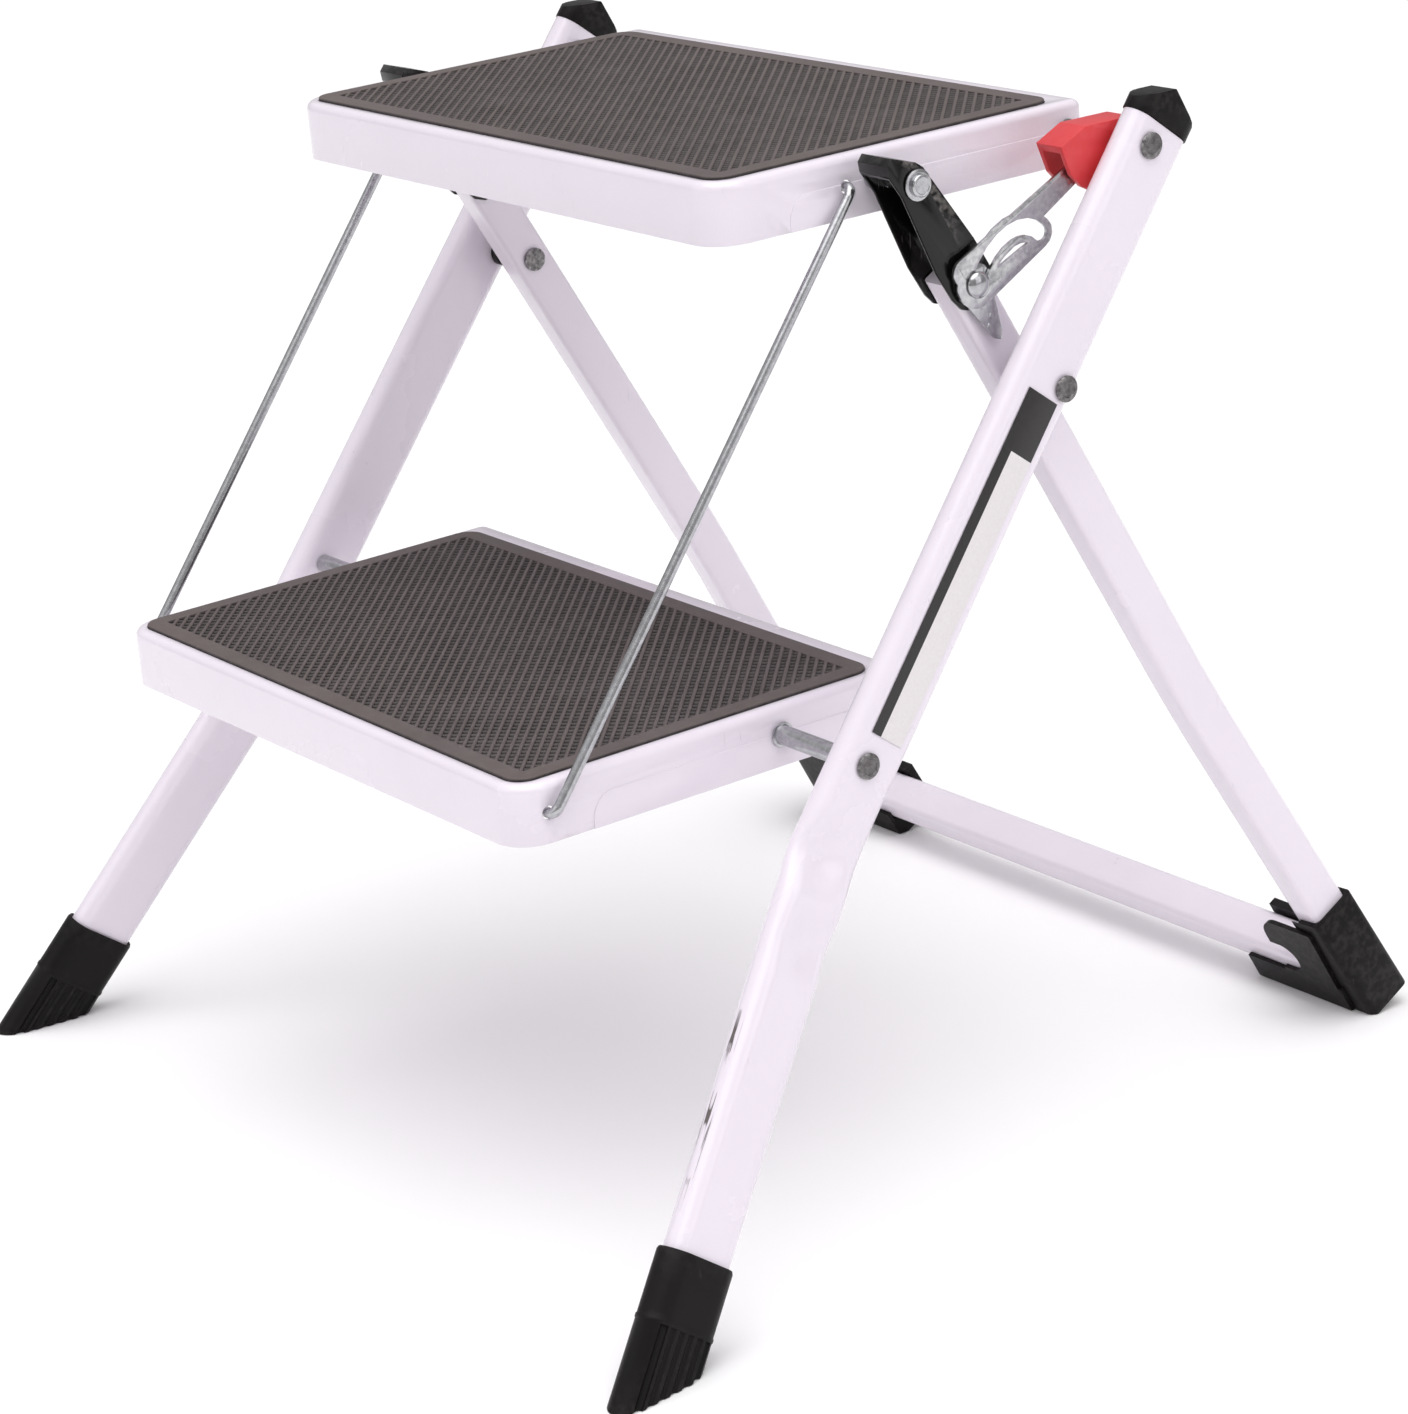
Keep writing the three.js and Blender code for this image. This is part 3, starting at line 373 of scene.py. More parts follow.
def finish_shader(tree, shader, colour, roughness, height, depth, strength=1.0, metallic=None):
    """Feeds the colour, roughness and surface relief to the shader."""
    tree.links.new(colour, shader.inputs["Base Color"])
    tree.links.new(roughness, shader.inputs["Roughness"])
    if metallic is not None:
        tree.links.new(metallic, shader.inputs["Metallic"])
    bump = put(tree, "Bump", {"Height": height, "Distance": depth, "Strength": strength})
    tree.links.new(bump.outputs[0], shader.inputs["Normal"])


white_coat, tree, shader = material("white_powder_coat")
skin = effect(tree, ripple, Scale=700.0, Swell=170.0)
marks = effect(tree, scuffs, Length=34.0, Fineness=1300.0, Amount=0.22)
dust = effect(tree, dusty, Amount=0.10)
edges = effect(tree, worn, Spread=0.56, Scale=160.0)
base = two_tone(tree, skin, (0.785, 0.725, 0.805, 1), (0.81, 0.75, 0.83, 1))
base = blend_colours(tree, dust["Dust"], base, (0.52, 0.47, 0.47, 1))
base = blend_colours(tree, times(tree, edges["Edges"], 0.25), base, (0.36, 0.31, 0.33, 1))
harm = times(tree, marks["Scratches"], marks["Chips"], "MAXIMUM")
place = own_place(tree)
knocked = leg_centre(RUB_HEIGHT)
from_it = put(tree, "VectorMath", {0: place, 1: knocked}, operation="SUBTRACT").outputs[0]
ahead = put(tree, "VectorMath", {0: from_it, 1: leg_back}, operation="DOT_PRODUCT")
along = put(tree, "VectorMath", {0: from_it, 1: leg_up}, operation="DOT_PRODUCT")
rubs = put(tree, "CombineXYZ", {
    0: times(tree, along.outputs["Value"], 38.0), 1: times(
        tree, ahead.outputs["Value"], 3200.0)})
rubbed = noise(tree, rubs.outputs[0], 1.0, 3.0)
rub_mask = times(
    tree, remap(tree, rubbed, 0.57, 0.61),
    remap(tree, ahead.outputs["Value"], -0.0157, -0.0161))
length_mask = put(tree, "Math", {0: along.outputs["Value"]}, operation="ABSOLUTE").outputs[0]
rub_mask = times(tree, rub_mask, remap(tree, length_mask, 0.045, 0.03))
right_side = put(tree, "SeparateXYZ", {0: place}).outputs["X"]
rub_mask = times(tree, rub_mask, times(tree, right_side, 0.0, "GREATER_THAN"))
harm = times(tree, harm, rub_mask, "MAXIMUM")
base = blend_colours(tree, harm, base, (0.11, 0.09, 0.09, 1))
gloss = times(tree, remap(tree, skin["Mottle"], 0.3, 0.7, 0.22, 0.3), times(
    tree, harm, 0.35), "ADD")
relief = times(tree, skin["Height"], times(tree, harm, 0.6), "SUBTRACT")
finish_shader(tree, shader, base, gloss, relief, 0.00022, 0.55)
shader.inputs["Coat Weight"].default_value = 0.6
shader.inputs["Coat Roughness"].default_value = 0.07

for side, piece in (("right", leg), ("left", opposite(leg, "leg_tube_left"))):
    piece.data.materials.append(white_coat)
    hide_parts(f"front_leg_{side}")
    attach(piece, "front_frame")

# ---- Top caps -----------------------------------------------------------------------------
# Black moulded caps that plug the open tops of the front legs, level at the front with a long
# slope down to the back. Pushed in by hand, so a thin shadow gap shows round each one.


def softened(node, name, width, segments=3, angle=30):
    """A merged copy of a frame solid with its edges rounded."""
    deselect()
    piece = frame["nodes"][node].copy()
    piece.data = frame["nodes"][node].data.copy()
    piece.parent = None
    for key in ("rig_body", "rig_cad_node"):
        del piece[key]
    piece.data.materials.clear()
    bpy.context.scene.collection.objects.link(piece)
    piece.hide_render = piece.hide_viewport = False
    piece.select_set(True)
    bpy.context.view_layer.objects.active = piece
    bpy.ops.object.mode_set(mode="EDIT")
    bpy.ops.mesh.select_all(action="SELECT")
    bpy.ops.mesh.remove_doubles(threshold=1e-6)
    bpy.ops.mesh.customdata_custom_splitnormals_clear()
    bpy.ops.mesh.dissolve_limited(angle_limit=math.radians(0.6))
    bpy.ops.object.mode_set(mode="OBJECT")
    bevel = piece.modifiers.new("rounded", "BEVEL")
    bevel.width = width
    bevel.segments = segments
    bevel.limit_method = "ANGLE"
    bevel.angle_limit = math.radians(angle)
    bevel.harden_normals = False
    bpy.ops.object.modifier_apply(modifier="rounded")
    return settle(piece, name)


black_plastic, tree, shader = material("black_moulded_plastic")
skin = effect(tree, ripple, Scale=2600.0, Swell=500.0)
marks = effect(tree, scuffs, Length=30.0, Fineness=700.0, Amount=0.15)
dust = effect(tree, dusty, Amount=0.02)
edges = effect(tree, worn, Spread=0.51, Scale=300.0)
base = two_tone(tree, skin, (0.0048, 0.0040, 0.0040, 1), (0.0070, 0.0058, 0.0057, 1))
base = blend_colours(tree, times(tree, edges["Edges"], 0.5), base, (0.035, 0.031, 0.030, 1))
base = blend_colours(tree, dust["Dust"], base, (0.11, 0.10, 0.095, 1))
base = blend_colours(tree, times(tree, marks["Scratches"], 0.6), base, (0.2, 0.19, 0.18, 1))
gloss = remap(tree, skin["Mottle"], 0.3, 0.7, 0.40, 0.46)
finish_shader(tree, shader, base, gloss, skin["Height"], 0.00012, 0.35)
shader.inputs["Specular IOR Level"].default_value = 0.14

cap = softened("front_cap_right", "top_cap_right", 0.0011)
for side, piece in (("right", cap), ("left", opposite(cap, "top_cap_left"))):
    piece.data.materials.append(black_plastic)
    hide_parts(f"front_cap_{side}")
    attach(piece, "front_frame")

# ---- Front feet ---------------------------------------------------------------------------
# Oval rubber-black sleeves pushed over the splayed leg ends and cut level with the floor. A
# parting ridge runs round each at half its length, with upright grooves moulded below it.

FOOT_LENGTH = 0.053
FOOT_WIDTH = 0.018
FOOT_DEPTH = 0.0364
GROOVE_DOWN = 0.03
GROOVE_LENGTH = 0.05
GROOVE_RADIUS = 0.00189
GROOVE_OUT = 0.0006

foot_top = FOOT_LENGTH * leg_up.z
foot_start = leg_centre(foot_top)
foot_down = (leg_centre(0.0) - foot_start).normalized()
foot_width_line = leg_back.cross(foot_down).normalized()
if foot_width_line.x < 0:
    foot_width_line.negate()
foot = section(
    foot_start + foot_down * 0.0012, foot_down, foot_width_line, FOOT_WIDTH - 0.0022,
    FOOT_DEPTH - 0.0022, FOOT_WIDTH / 2 - 0.00112, 48)
draw_out([foot_down * -0.0009])


def swell(factor_x, centre):
    """Widens the selected ring about its centre."""
    bpy.ops.transform.resize(
        value=(factor_x, factor_x, factor_x), center_override=centre)


swell(1.05, foot_start)
foot_rings = [
    (0.0012, 1.035), (0.012, 1.0), (0.012, 1.0), (0.0022, 1.0), (0.0006, 1.022),
    (0.0012, 1.0), (0.0006, 0.978), (0.03, 1.0), (0.03, 1.0),
]
middle = foot_start + foot_down * 0.0003
for step, factor in foot_rings:
    draw_out([foot_down * step])
    middle = middle + foot_down * step
    swell(factor, middle)
close_ends(foot)
pick(foot, face_test=lambda centre, normal: True)
bpy.ops.mesh.bisect(
    plane_co=(0, 0, 0.0), plane_no=(0, 0, 1), use_fill=True, clear_inner=True, clear_outer=False)
settle(foot, "foot_sleeve_right", 35)


def cut_away(piece, cutter, operation="DIFFERENCE"):
    """Cuts a shape out of the piece, or joins it on, and throws the cutter away."""
    choose(piece)
    tool = piece.modifiers.new("cut", "BOOLEAN")
    tool.object = cutter
    tool.operation = operation
    tool.solver = "EXACT"
    bpy.ops.object.modifier_apply(modifier="cut")
    bpy.data.objects.remove(cutter)


def cylinder(radius, depth, centre, turn, sides):
    deselect()
    bpy.ops.mesh.primitive_cylinder_add(
        vertices=sides, radius=radius, depth=depth, location=centre, rotation=turn)
    apply_place()
    return bpy.context.object


def block(low, high, turn=(0, 0, 0)):
    """A box between two corners, turned about its own centre."""
    deselect()
    bpy.ops.mesh.primitive_cube_add(
        size=1, location=(Vector(low) + Vector(high)) / 2, rotation=turn,
        scale=Vector(high) - Vector(low))
    apply_place()
    return bpy.context.object


def round_edges(piece, width, segments, test):
    """Bevels the edges that pass a test of their two ends."""
    pick(piece, edge_test=test)
    bpy.ops.mesh.bevel(offset=width, segments=segments, affect="EDGES", profile=0.5)
    bpy.ops.object.mode_set(mode="OBJECT")


foot_turn = Matrix((foot_width_line, leg_back, -foot_down)).transposed()
for place in (-0.0125, -0.0075, -0.0025, 0.0025, 0.0075, 0.0125):
    for side in (1, -1):
        out = FOOT_WIDTH / 2 + (GROOVE_OUT if abs(place) < 0.01 else GROOVE_OUT - 0.0012)
        middle = (
            foot_start + foot_down * (GROOVE_DOWN + GROOVE_LENGTH / 2) + leg_back * place
            + foot_width_line * side * out)
        cut_away(foot, cylinder(GROOVE_RADIUS, GROOVE_LENGTH, middle, foot_turn.to_euler(), 12))
settle(foot, "foot_sleeve_right", 35)
for side, piece in (("right", foot), ("left", opposite(foot, "foot_sleeve_left"))):
    piece.data.materials.append(black_plastic)
    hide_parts(f"front_foot_{side}")
    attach(piece, "front_frame")

# ---- Pivot pins of the front legs ----------------------------------------------------------
# Steel pins through the legs, headed over like rivets: a domed dull head outside, and a flat
# tail inside the tread. Bright zinc plate that has greyed where it was struck.

PIN_RADIUS = 0.0029


def turned(name, centre, profile, count=32):
    """A turned piece along X from a list of places across and radii."""
    deselect()
    start_x, start_radius = profile[0]
    bpy.ops.mesh.primitive_circle_add(
        vertices=count, radius=start_radius, location=(start_x, centre.y, centre.z),
        rotation=(0, math.pi / 2, 0))
    piece = bpy.context.object
    apply_place()
    bpy.ops.object.mode_set(mode="EDIT")
    bpy.ops.mesh.select_mode(type="VERT")
    bpy.ops.mesh.select_all(action="SELECT")
    radius = start_radius
    for x, next_radius in profile[1:]:
        step = x - start_x
        bpy.ops.mesh.extrude_region_move(TRANSFORM_OT_translate={"value": (step, 0, 0)})
        bpy.ops.transform.resize(
            value=(1, next_radius / radius, next_radius / radius),
            center_override=(x, centre.y, centre.z))
        start_x, radius = x, next_radius
    close_ends(piece)
    return settle(piece, name, 32)


zinc, tree, shader = material("zinc_plate")
skin = effect(tree, ripple, Scale=2400.0, Swell=420.0)
marks = effect(tree, scuffs, Length=60.0, Fineness=2200.0, Amount=0.5)
edges = effect(tree, worn, Spread=0.52, Scale=500.0)
base = blend_colours(
    tree, remap(tree, skin["Height"], 0.36, 0.64), (0.36, 0.365, 0.38, 1),
    (0.52, 0.525, 0.54, 1))
base = blend_colours(tree, times(tree, edges["Edges"], 0.4), base, (0.85, 0.84, 0.82, 1))
base = blend_colours(tree, times(tree, marks["Scratches"], 0.6), base, (0.16, 0.15, 0.15, 1))
gloss = times(tree, remap(tree, skin["Mottle"], 0.3, 0.7, 0.16, 0.28), times(
    tree, marks["Scratches"], 0.3), "ADD")
finish_shader(tree, shader, base, gloss, skin["Height"], 0.0001, 0.35)
shader.inputs["Metallic"].default_value = 0.95

dull_zinc, tree, shader = material("struck_zinc")
skin = effect(tree, ripple, Scale=1800.0, Swell=420.0)
edges = effect(tree, worn, Spread=0.52, Scale=600.0)
base = blend_colours(
    tree, remap(tree, skin["Height"], 0.35, 0.65), (0.085, 0.080, 0.082, 1),
    (0.21, 0.20, 0.205, 1))
base = blend_colours(tree, edges["Edges"], base, (0.6, 0.59, 0.58, 1))
gloss = remap(tree, skin["Mottle"], 0.3, 0.7, 0.36, 0.52)
finish_shader(tree, shader, base, gloss, skin["Height"], 0.0003, 0.8)
shader.inputs["Metallic"].default_value = 0.9

for node, centre in (
        ("top_pivot_pin", top_pivot), ("step_pivot_pin", step_pivot),
        ("cross_pivot_pin", cross_pivot)):
    low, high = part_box(f"{node}_right")
    face = high.x
    pin = turned(f"{node}_rivet_right", centre, [
        (low.x, 0.0045), (low.x + 0.0006, 0.0056), (low.x + 0.0018, 0.0056),
        (low.x + 0.0019, PIN_RADIUS), (face - 0.0019, PIN_RADIUS), (face - 0.00188, 0.0052),
        (face - 0.0016, 0.0056), (face - 0.001, 0.0056), (face - 0.0005, 0.0051),
        (face - 0.00015, 0.0041), (face - 0.00005, 0.0036), (face - 0.0004, 0.0033),
        (face - 0.0004, 0.001)])
    for side, piece in (("right", pin), ("left", opposite(pin, f"{node}_rivet_left"))):
        piece.data.materials.append(dull_zinc)
        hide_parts(f"{node}_{side}")
        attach(piece, "front_frame")

# ---- Spacer sleeves and washers ------------------------------------------------------------
# Short lengths of zinc-plated tube on the pivot pins, holding the treads off the legs, and a
# black nylon washer between each pair of crossing legs.

for node in ("top_spacer_right", "top_spacer_left", "step_spacer_right", "step_spacer_left"):
    low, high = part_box(node)
    centre = (low + high) / 2
    near, far = (low.x, high.x) if centre.x > 0 else (-high.x, -low.x)
    radius = (high.y - low.y) / 2
    sleeve = turned(f"{node}_sleeve", centre, [
        (near, PIN_RADIUS + 0.0003), (near, radius + 0.0010), (near + 0.0002, radius + 0.0013),
        (near + 0.0007, radius + 0.0012), (near + 0.0009, radius + 0.0002),
        (near + 0.0016, radius), (far - 0.0004, radius), (far, radius - 0.0003),
        (far, PIN_RADIUS + 0.0003)])
    if centre.x < 0:
        mirror(sleeve)
    sleeve.data.materials.append(zinc)
    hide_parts(node)
    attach(sleeve, "front_frame")

low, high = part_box("cross_washer_right")
washer = turned("cross_pivot_washer_right", cross_pivot, [
    (low.x, PIN_RADIUS), (low.x, 0.0062), (low.x + 0.0005, 0.0066),
    (high.x - 0.0005, 0.0066), (high.x, 0.0062), (high.x, PIN_RADIUS)])
for side, piece in (("right", washer), ("left", opposite(washer, "cross_pivot_washer_left"))):
    piece.data.materials.append(black_plastic)
    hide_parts(f"cross_washer_{side}")
    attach(piece, "front_frame")

# ---- Blank label ---------------------------------------------------------------------------
# A paper sticker down the outer side of the right front leg, under a clear film. It is left
# without lettering: a dark head and a dark band beside a pale panel.

LABEL_HEAD = 0.026
LABEL_BAND = 0.0052
LABEL_HALF_WIDTH = 0.0088
LABEL_END = 0.0075

label = softened("blank_label", "paper_label", 0.00004, 1, 60)
label_low, label_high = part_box("blank_label")
label_mid = leg_centre((label_low.z + label_high.z) / 2)
label_top = leg_centre(label_high.z)
paper, tree, shader = material("printed_label_blank")
place = own_place(tree)
back_line = put(tree, "VectorMath", {0: place, 1: leg_back}, operation="DOT_PRODUCT")
up_line = put(tree, "VectorMath", {0: place, 1: leg_up}, operation="DOT_PRODUCT")
band_edge = label_mid.dot(leg_back) - LABEL_HALF_WIDTH + LABEL_BAND
head_edge = label_top.dot(leg_up) - LABEL_END - LABEL_HEAD
band = remap(tree, back_line.outputs["Value"], band_edge, band_edge + 0.0001, 1.0, 0.0)
head = remap(tree, up_line.outputs["Value"], head_edge, head_edge + 0.0001)
dark = times(tree, band, head, "MAXIMUM")
fibre = noise(tree, place, 800.0, 5.0)
pale = blend_colours(tree, fibre, (0.70, 0.66, 0.67, 1), (0.80, 0.77, 0.78, 1))
ink = blend_colours(tree, fibre, (0.012, 0.011, 0.012, 1), (0.03, 0.027, 0.028, 1))
base = blend_colours(tree, dark, pale, ink)
finish_shader(
    tree, shader, base, remap(tree, fibre, 0.3, 0.7, 0.36, 0.48), fibre, 0.00005, 0.4)
label.data.materials.append(paper)
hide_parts("blank_label")
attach(label, "front_frame")

# ---- Treads ---------------------------------------------------------------------------------
# Two steel pans pressed from sheet: rounded over at the top and at the front corners, open
# below, with a panel embossed in each side wall. Powder-coated with the legs.

PAN_EDGE = 0.0036
PAN_WALL = 0.0012
FRONT_CORNER = 0.016
BACK_CORNER = 0.005
SIDE_STEP = 0.0005
MAT_SETTING = 0.001
MAT_GAP = 0.0003
SETTING_CORNER = 0.0093
PANEL_FRONT = 0.0365
PANEL_BACK = 0.012
PANEL_TOP = 0.0115
PANEL_CORNER = 0.011
LIP = 0.0004
ROD_HOLE = 0.0029
ROD_RADIUS = 0.00225


def upright(a, b):
    return abs(a.x - b.x) + abs(a.y - b.y) < 1e-5 and abs(a.z - b.z) > 0.001


def pan_block(low, high, front_radius, back_radius, edge):
    """A box with rounded corners and a rounded top edge."""
    made = block(low, high)
    middle = (low[1] + high[1]) / 2
    round_edges(made, front_radius, 8, lambda a, b: upright(a, b) and a.y < middle)
    round_edges(made, back_radius, 5, lambda a, b: upright(a, b) and a.y > middle)
    if edge:
        top = high[2]
        round_edges(
            made, edge, 5, lambda a, b: abs(a.z - top) < 1e-6 and abs(b.z - top) < 1e-6)
    return made


def pressed_pan(name, node, mat_node, rod_point):
    low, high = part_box(node)
    mat_low, mat_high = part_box(mat_node)
    inset = Vector((SIDE_STEP, 0, 0))
    pan_piece = pan_block(low + inset, high - inset, FRONT_CORNER, BACK_CORNER, PAN_EDGE)
    panel = block(
        (low.x, low.y + PANEL_FRONT, low.z), (high.x, high.y - PANEL_BACK, high.z - PANEL_TOP))
    round_edges(panel, PANEL_CORNER, 8, lambda a, b: (
        abs(a.y - b.y) + abs(a.z - b.z) < 1e-5 and a.z > low.z + 0.001))
    cut_away(pan_piece, panel, "UNION")
    wall = Vector((PAN_WALL + SIDE_STEP, PAN_WALL, 0))
    hollow = pan_block(
        low + wall - Vector((0, 0, 0.01)), high - wall - Vector((0, 0, MAT_SETTING + PAN_WALL)),
        FRONT_CORNER - PAN_WALL, BACK_CORNER - PAN_WALL, PAN_EDGE - PAN_WALL)
    cut_away(pan_piece, hollow)
    setting = pan_block(
        (mat_low.x - MAT_GAP, mat_low.y - MAT_GAP, high.z - MAT_SETTING),
        (mat_high.x + MAT_GAP, mat_high.y + MAT_GAP, high.z + 0.01),
        SETTING_CORNER, SETTING_CORNER, 0)
    cut_away(pan_piece, setting)
    cut_away(pan_piece, cylinder(
        ROD_HOLE, 0.5, (0, rod_point.y, rod_point.z), (0, math.pi / 2, 0), 20))
    choose(pan_piece)
    lip = pan_piece.modifiers.new("lip", "BEVEL")
    lip.width = LIP
    lip.segments = 2
    lip.limit_method = "ANGLE"
    lip.angle_limit = math.radians(50)
    bpy.ops.object.modifier_apply(modifier="lip")
    return settle(pan_piece, name, 34)


rod_low, rod_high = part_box("tie_rod_right")
rod_top = Vector((0, rod_high.y - ROD_RADIUS, rod_high.z - ROD_RADIUS))
rod_bottom = Vector((0, rod_low.y + ROD_RADIUS, rod_low.z + ROD_RADIUS))
for name, node, mat_node, rod_point, body in (
        ("top_pan", "top_step", "top_mat", rod_top, "top_tread"),
        ("lower_pan", "lower_step", "lower_mat", rod_bottom, "lower_tread")):
    pan = pressed_pan(name, node, mat_node, rod_point)
    pan.data.materials.append(white_coat)
    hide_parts(node)
    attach(pan, body)

# ---- Mats -----------------------------------------------------------------------------------
# Moulded rubber sheets glued into the tops of the treads. A smooth border frames a field of
# fine ridges that cross on both diagonals, one direction standing a little prouder.

MAT_BORDER = 0.0088
MAT_CORNER = 0.009
RIDGE_ACROSS = 0.0061
RIDGE_BACK = 0.0055
RIDGE_WIDTH = 0.0019
RIDGE_RISE = 0.0012
LOW_RIDGE_DROP = 0.0005

rubber, tree, shader = material("tread_rubber")
skin = effect(tree, ripple, Scale=2200.0, Swell=380.0)
dust = effect(tree, dusty, Amount=0.4)
edges = effect(tree, worn, Spread=0.505, Scale=160.0)
base = two_tone(tree, skin, (0.082, 0.062, 0.060, 1), (0.108, 0.084, 0.081, 1))
# Painted shade: the mat's surface is darkened to near-black the deeper it lies below the mat's
# top face, so the field between the ridges and the lower ridges look shaded.
where = put(tree, "SeparateXYZ", {0: own_place(tree)}).outputs["Z"]
lower_face, top_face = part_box("lower_mat")[1].z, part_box("top_mat")[1].z
between = (lower_face + top_face) / 2
rise = times(tree, times(tree, where, between, "GREATER_THAN"), top_face - lower_face)
below_top = times(tree, times(tree, rise, lower_face, "ADD"), where, "SUBTRACT")
painted_recess_shade = remap(tree, below_top, 0.00015, 0.0008)
base = blend_colours(tree, painted_recess_shade, base, (0.014, 0.010, 0.010, 1))
base = blend_colours(tree, dust["Dust"], base, (0.13, 0.108, 0.105, 1))
base = blend_colours(tree, times(tree, edges["Edges"], 0.4), base, (0.17, 0.148, 0.145, 1))
gloss = remap(tree, skin["Mottle"], 0.3, 0.7, 0.5, 0.64)
finish_shader(tree, shader, base, gloss, skin["Height"], 0.0002, 0.7)


def bar_with_rounded_top(low, high, width):
    made = block(low, high)
    round_edges(
        made, width, 2, lambda a, b: abs(a.z - high[2]) < 1e-6 and abs(b.z - high[2]) < 1e-6)
    pick(made, face_test=lambda centre, normal: normal.z < -0.9)
    bpy.ops.mesh.delete(type="FACE")
    bpy.ops.object.mode_set(mode="OBJECT")
    return made


def row_of(piece, count, step):
    """Repeats the piece in a row, in the one mesh."""
    choose(piece)
    row = piece.modifiers.new("row", "ARRAY")
    row.count = count
    row.use_relative_offset = False
    row.use_constant_offset = True
    row.constant_offset_displace = step
    bpy.ops.object.modifier_apply(modifier="row")


def ridge_field(field_low, field_high, floor_z, top_z, slope):
    """Parallel ridges on one diagonal, trimmed to the field of a mat."""
    middle = (field_low + field_high) / 2
    turned_by = math.atan2(RIDGE_BACK, RIDGE_ACROSS) * slope
    reach = (field_high - field_low).length
    ridge = bar_with_rounded_top(
        (-reach / 2, -RIDGE_WIDTH / 2, floor_z), (reach / 2, RIDGE_WIDTH / 2, top_z), 0.0007)
    deselect()
    ridge.select_set(True)
    ridge.rotation_euler = (0, 0, turned_by)
    bpy.ops.object.transform_apply(location=False, rotation=True, scale=False)
    count = int((field_high.x - field_low.x + field_high.y - field_low.y) / RIDGE_ACROSS) + 6
    ridge.location = (middle.x - (count - 1) * RIDGE_ACROSS / 2, middle.y, 0)
    bpy.ops.object.transform_apply(location=True, rotation=False, scale=False)
    row_of(ridge, count, (RIDGE_ACROSS, 0, 0))
    for axis, sign in ((0, 1), (0, -1), (1, 1), (1, -1)):
        normal = Vector((0, 0, 0))
        normal[axis] = sign
        pick(ridge, vertex_test=lambda place: True)
        bpy.ops.mesh.bisect(
            plane_co=field_high if sign > 0 else field_low, plane_no=normal,
            clear_outer=True)
        bpy.ops.object.mode_set(mode="OBJECT")
    return ridge


for name, node, body in (
        ("top_grip_mat", "top_mat", "top_tread"), ("lower_grip_mat", "lower_mat", "lower_tread")):
    low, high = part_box(node)
    mat = pan_block(low, high, MAT_CORNER, MAT_CORNER, 0.0005)
    pick(mat, face_test=lambda centre, normal: normal.z > 0.9 and centre.z > high.z - 1e-5)
    bpy.ops.mesh.inset(thickness=MAT_BORDER - 0.0005, depth=0)
    bpy.ops.mesh.inset(thickness=0.0004, depth=-RIDGE_RISE)
    bpy.ops.object.mode_set(mode="OBJECT")
    floor_z = high.z - RIDGE_RISE - 0.0001
    border = Vector((MAT_BORDER, MAT_BORDER, 0))
    proud = ridge_field(low + border, high - border, floor_z, high.z, -1)
    lower = ridge_field(
        low + border, high - border, floor_z, high.z - LOW_RIDGE_DROP, 1)
    deselect()
    for part in (mat, proud, lower):
        part.select_set(True)
    bpy.context.view_layer.objects.active = mat
    bpy.ops.object.join()
    settle(mat, name, 35)
    mat.data.materials.append(rubber)
    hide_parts(node)
    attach(mat, body)

# ---- Support studs --------------------------------------------------------------------------
# Short zinc studs riveted through the top tread's side walls, where the support links meet it.

STUD_COLLAR = 0.1632

low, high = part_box("support_stud_right")
stud = turned("support_stud_head_right", (low + high) / 2, [
    (low.x, 0.0048), (low.x + 0.0006, 0.0058), (low.x + 0.0019, 0.0058),
    (low.x + 0.002, 0.003), (STUD_COLLAR, 0.003), (STUD_COLLAR + 0.00005, 0.0047),
    (STUD_COLLAR + 0.0004, 0.005),
    (high.x - 0.0006, 0.005), (high.x, 0.0044)])
for side, piece in (("right", stud), ("left", opposite(stud, "support_stud_head_left"))):
    piece.data.materials.append(zinc)
    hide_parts(f"support_stud_{side}")
    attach(piece, "top_tread")

# ---- Tie rods -------------------------------------------------------------------------------
# Zinc-plated wire on each side, bent to a hook at both ends and sprung through the treads'
# side walls, so that the lower tread stays level with the upper one.

ROD_BEND = 0.004

rod_x = rod_high.x - ROD_RADIUS
inner_x = rod_low.x
rod_line = (rod_bottom - rod_top).normalized()
rod_side = Vector((1, 0, 0)).cross(rod_line)
rod = section(
    Vector((inner_x, rod_top.y, rod_top.z)), Vector((1, 0, 0)), rod_side, ROD_RADIUS * 2,
    ROD_RADIUS * 2, ROD_RADIUS, 20)
draw_out([Vector((rod_x - ROD_BEND - inner_x, 0, 0))])
bpy.ops.mesh.spin(
    steps=8, angle=math.pi / 2, axis=rod_side * -1,
    center=Vector((rod_x - ROD_BEND, rod_top.y, rod_top.z)) + rod_line * ROD_BEND)
length = (rod_bottom - rod_top).length - ROD_BEND * 2
draw_out([rod_line * (length / 6)] * 6)
bpy.ops.mesh.spin(
    steps=8, angle=math.pi / 2, axis=rod_side * -1,
    center=Vector((rod_x - ROD_BEND, rod_bottom.y, rod_bottom.z)) - rod_line * ROD_BEND)
draw_out([Vector((inner_x - rod_x + ROD_BEND, 0, 0))])
close_ends(rod)
settle(rod, "wire_rod_right", 50)
for side, piece in (("right", rod), ("left", opposite(rod, "wire_rod_left"))):
    piece.data.materials.append(zinc)
    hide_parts(f"tie_rod_{side}")
    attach(piece, f"tie_rod_{side}")

# ---- Rear legs and crossbar -----------------------------------------------------------------
# Rectangular steel tube with rounded corners, bent slightly outwards below half height and
# joined by a crossbar at the floor. The same glossy white coat as the front legs.

REAR_WIDTH = 0.015
REAR_DEPTH = 0.020
REAR_CORNER = 0.0026
REAR_BEND = 0.169
REAR_BEND_REACH = 0.023
REAR_SPLAY = 0.098
REAR_TOP_ABOVE_KNEE = 0.0065
REAR_END = 0.0138
BAR_WIDTH = 0.0137
BAR_DEPTH = 0.0204
BAR_CORNER = 0.0032

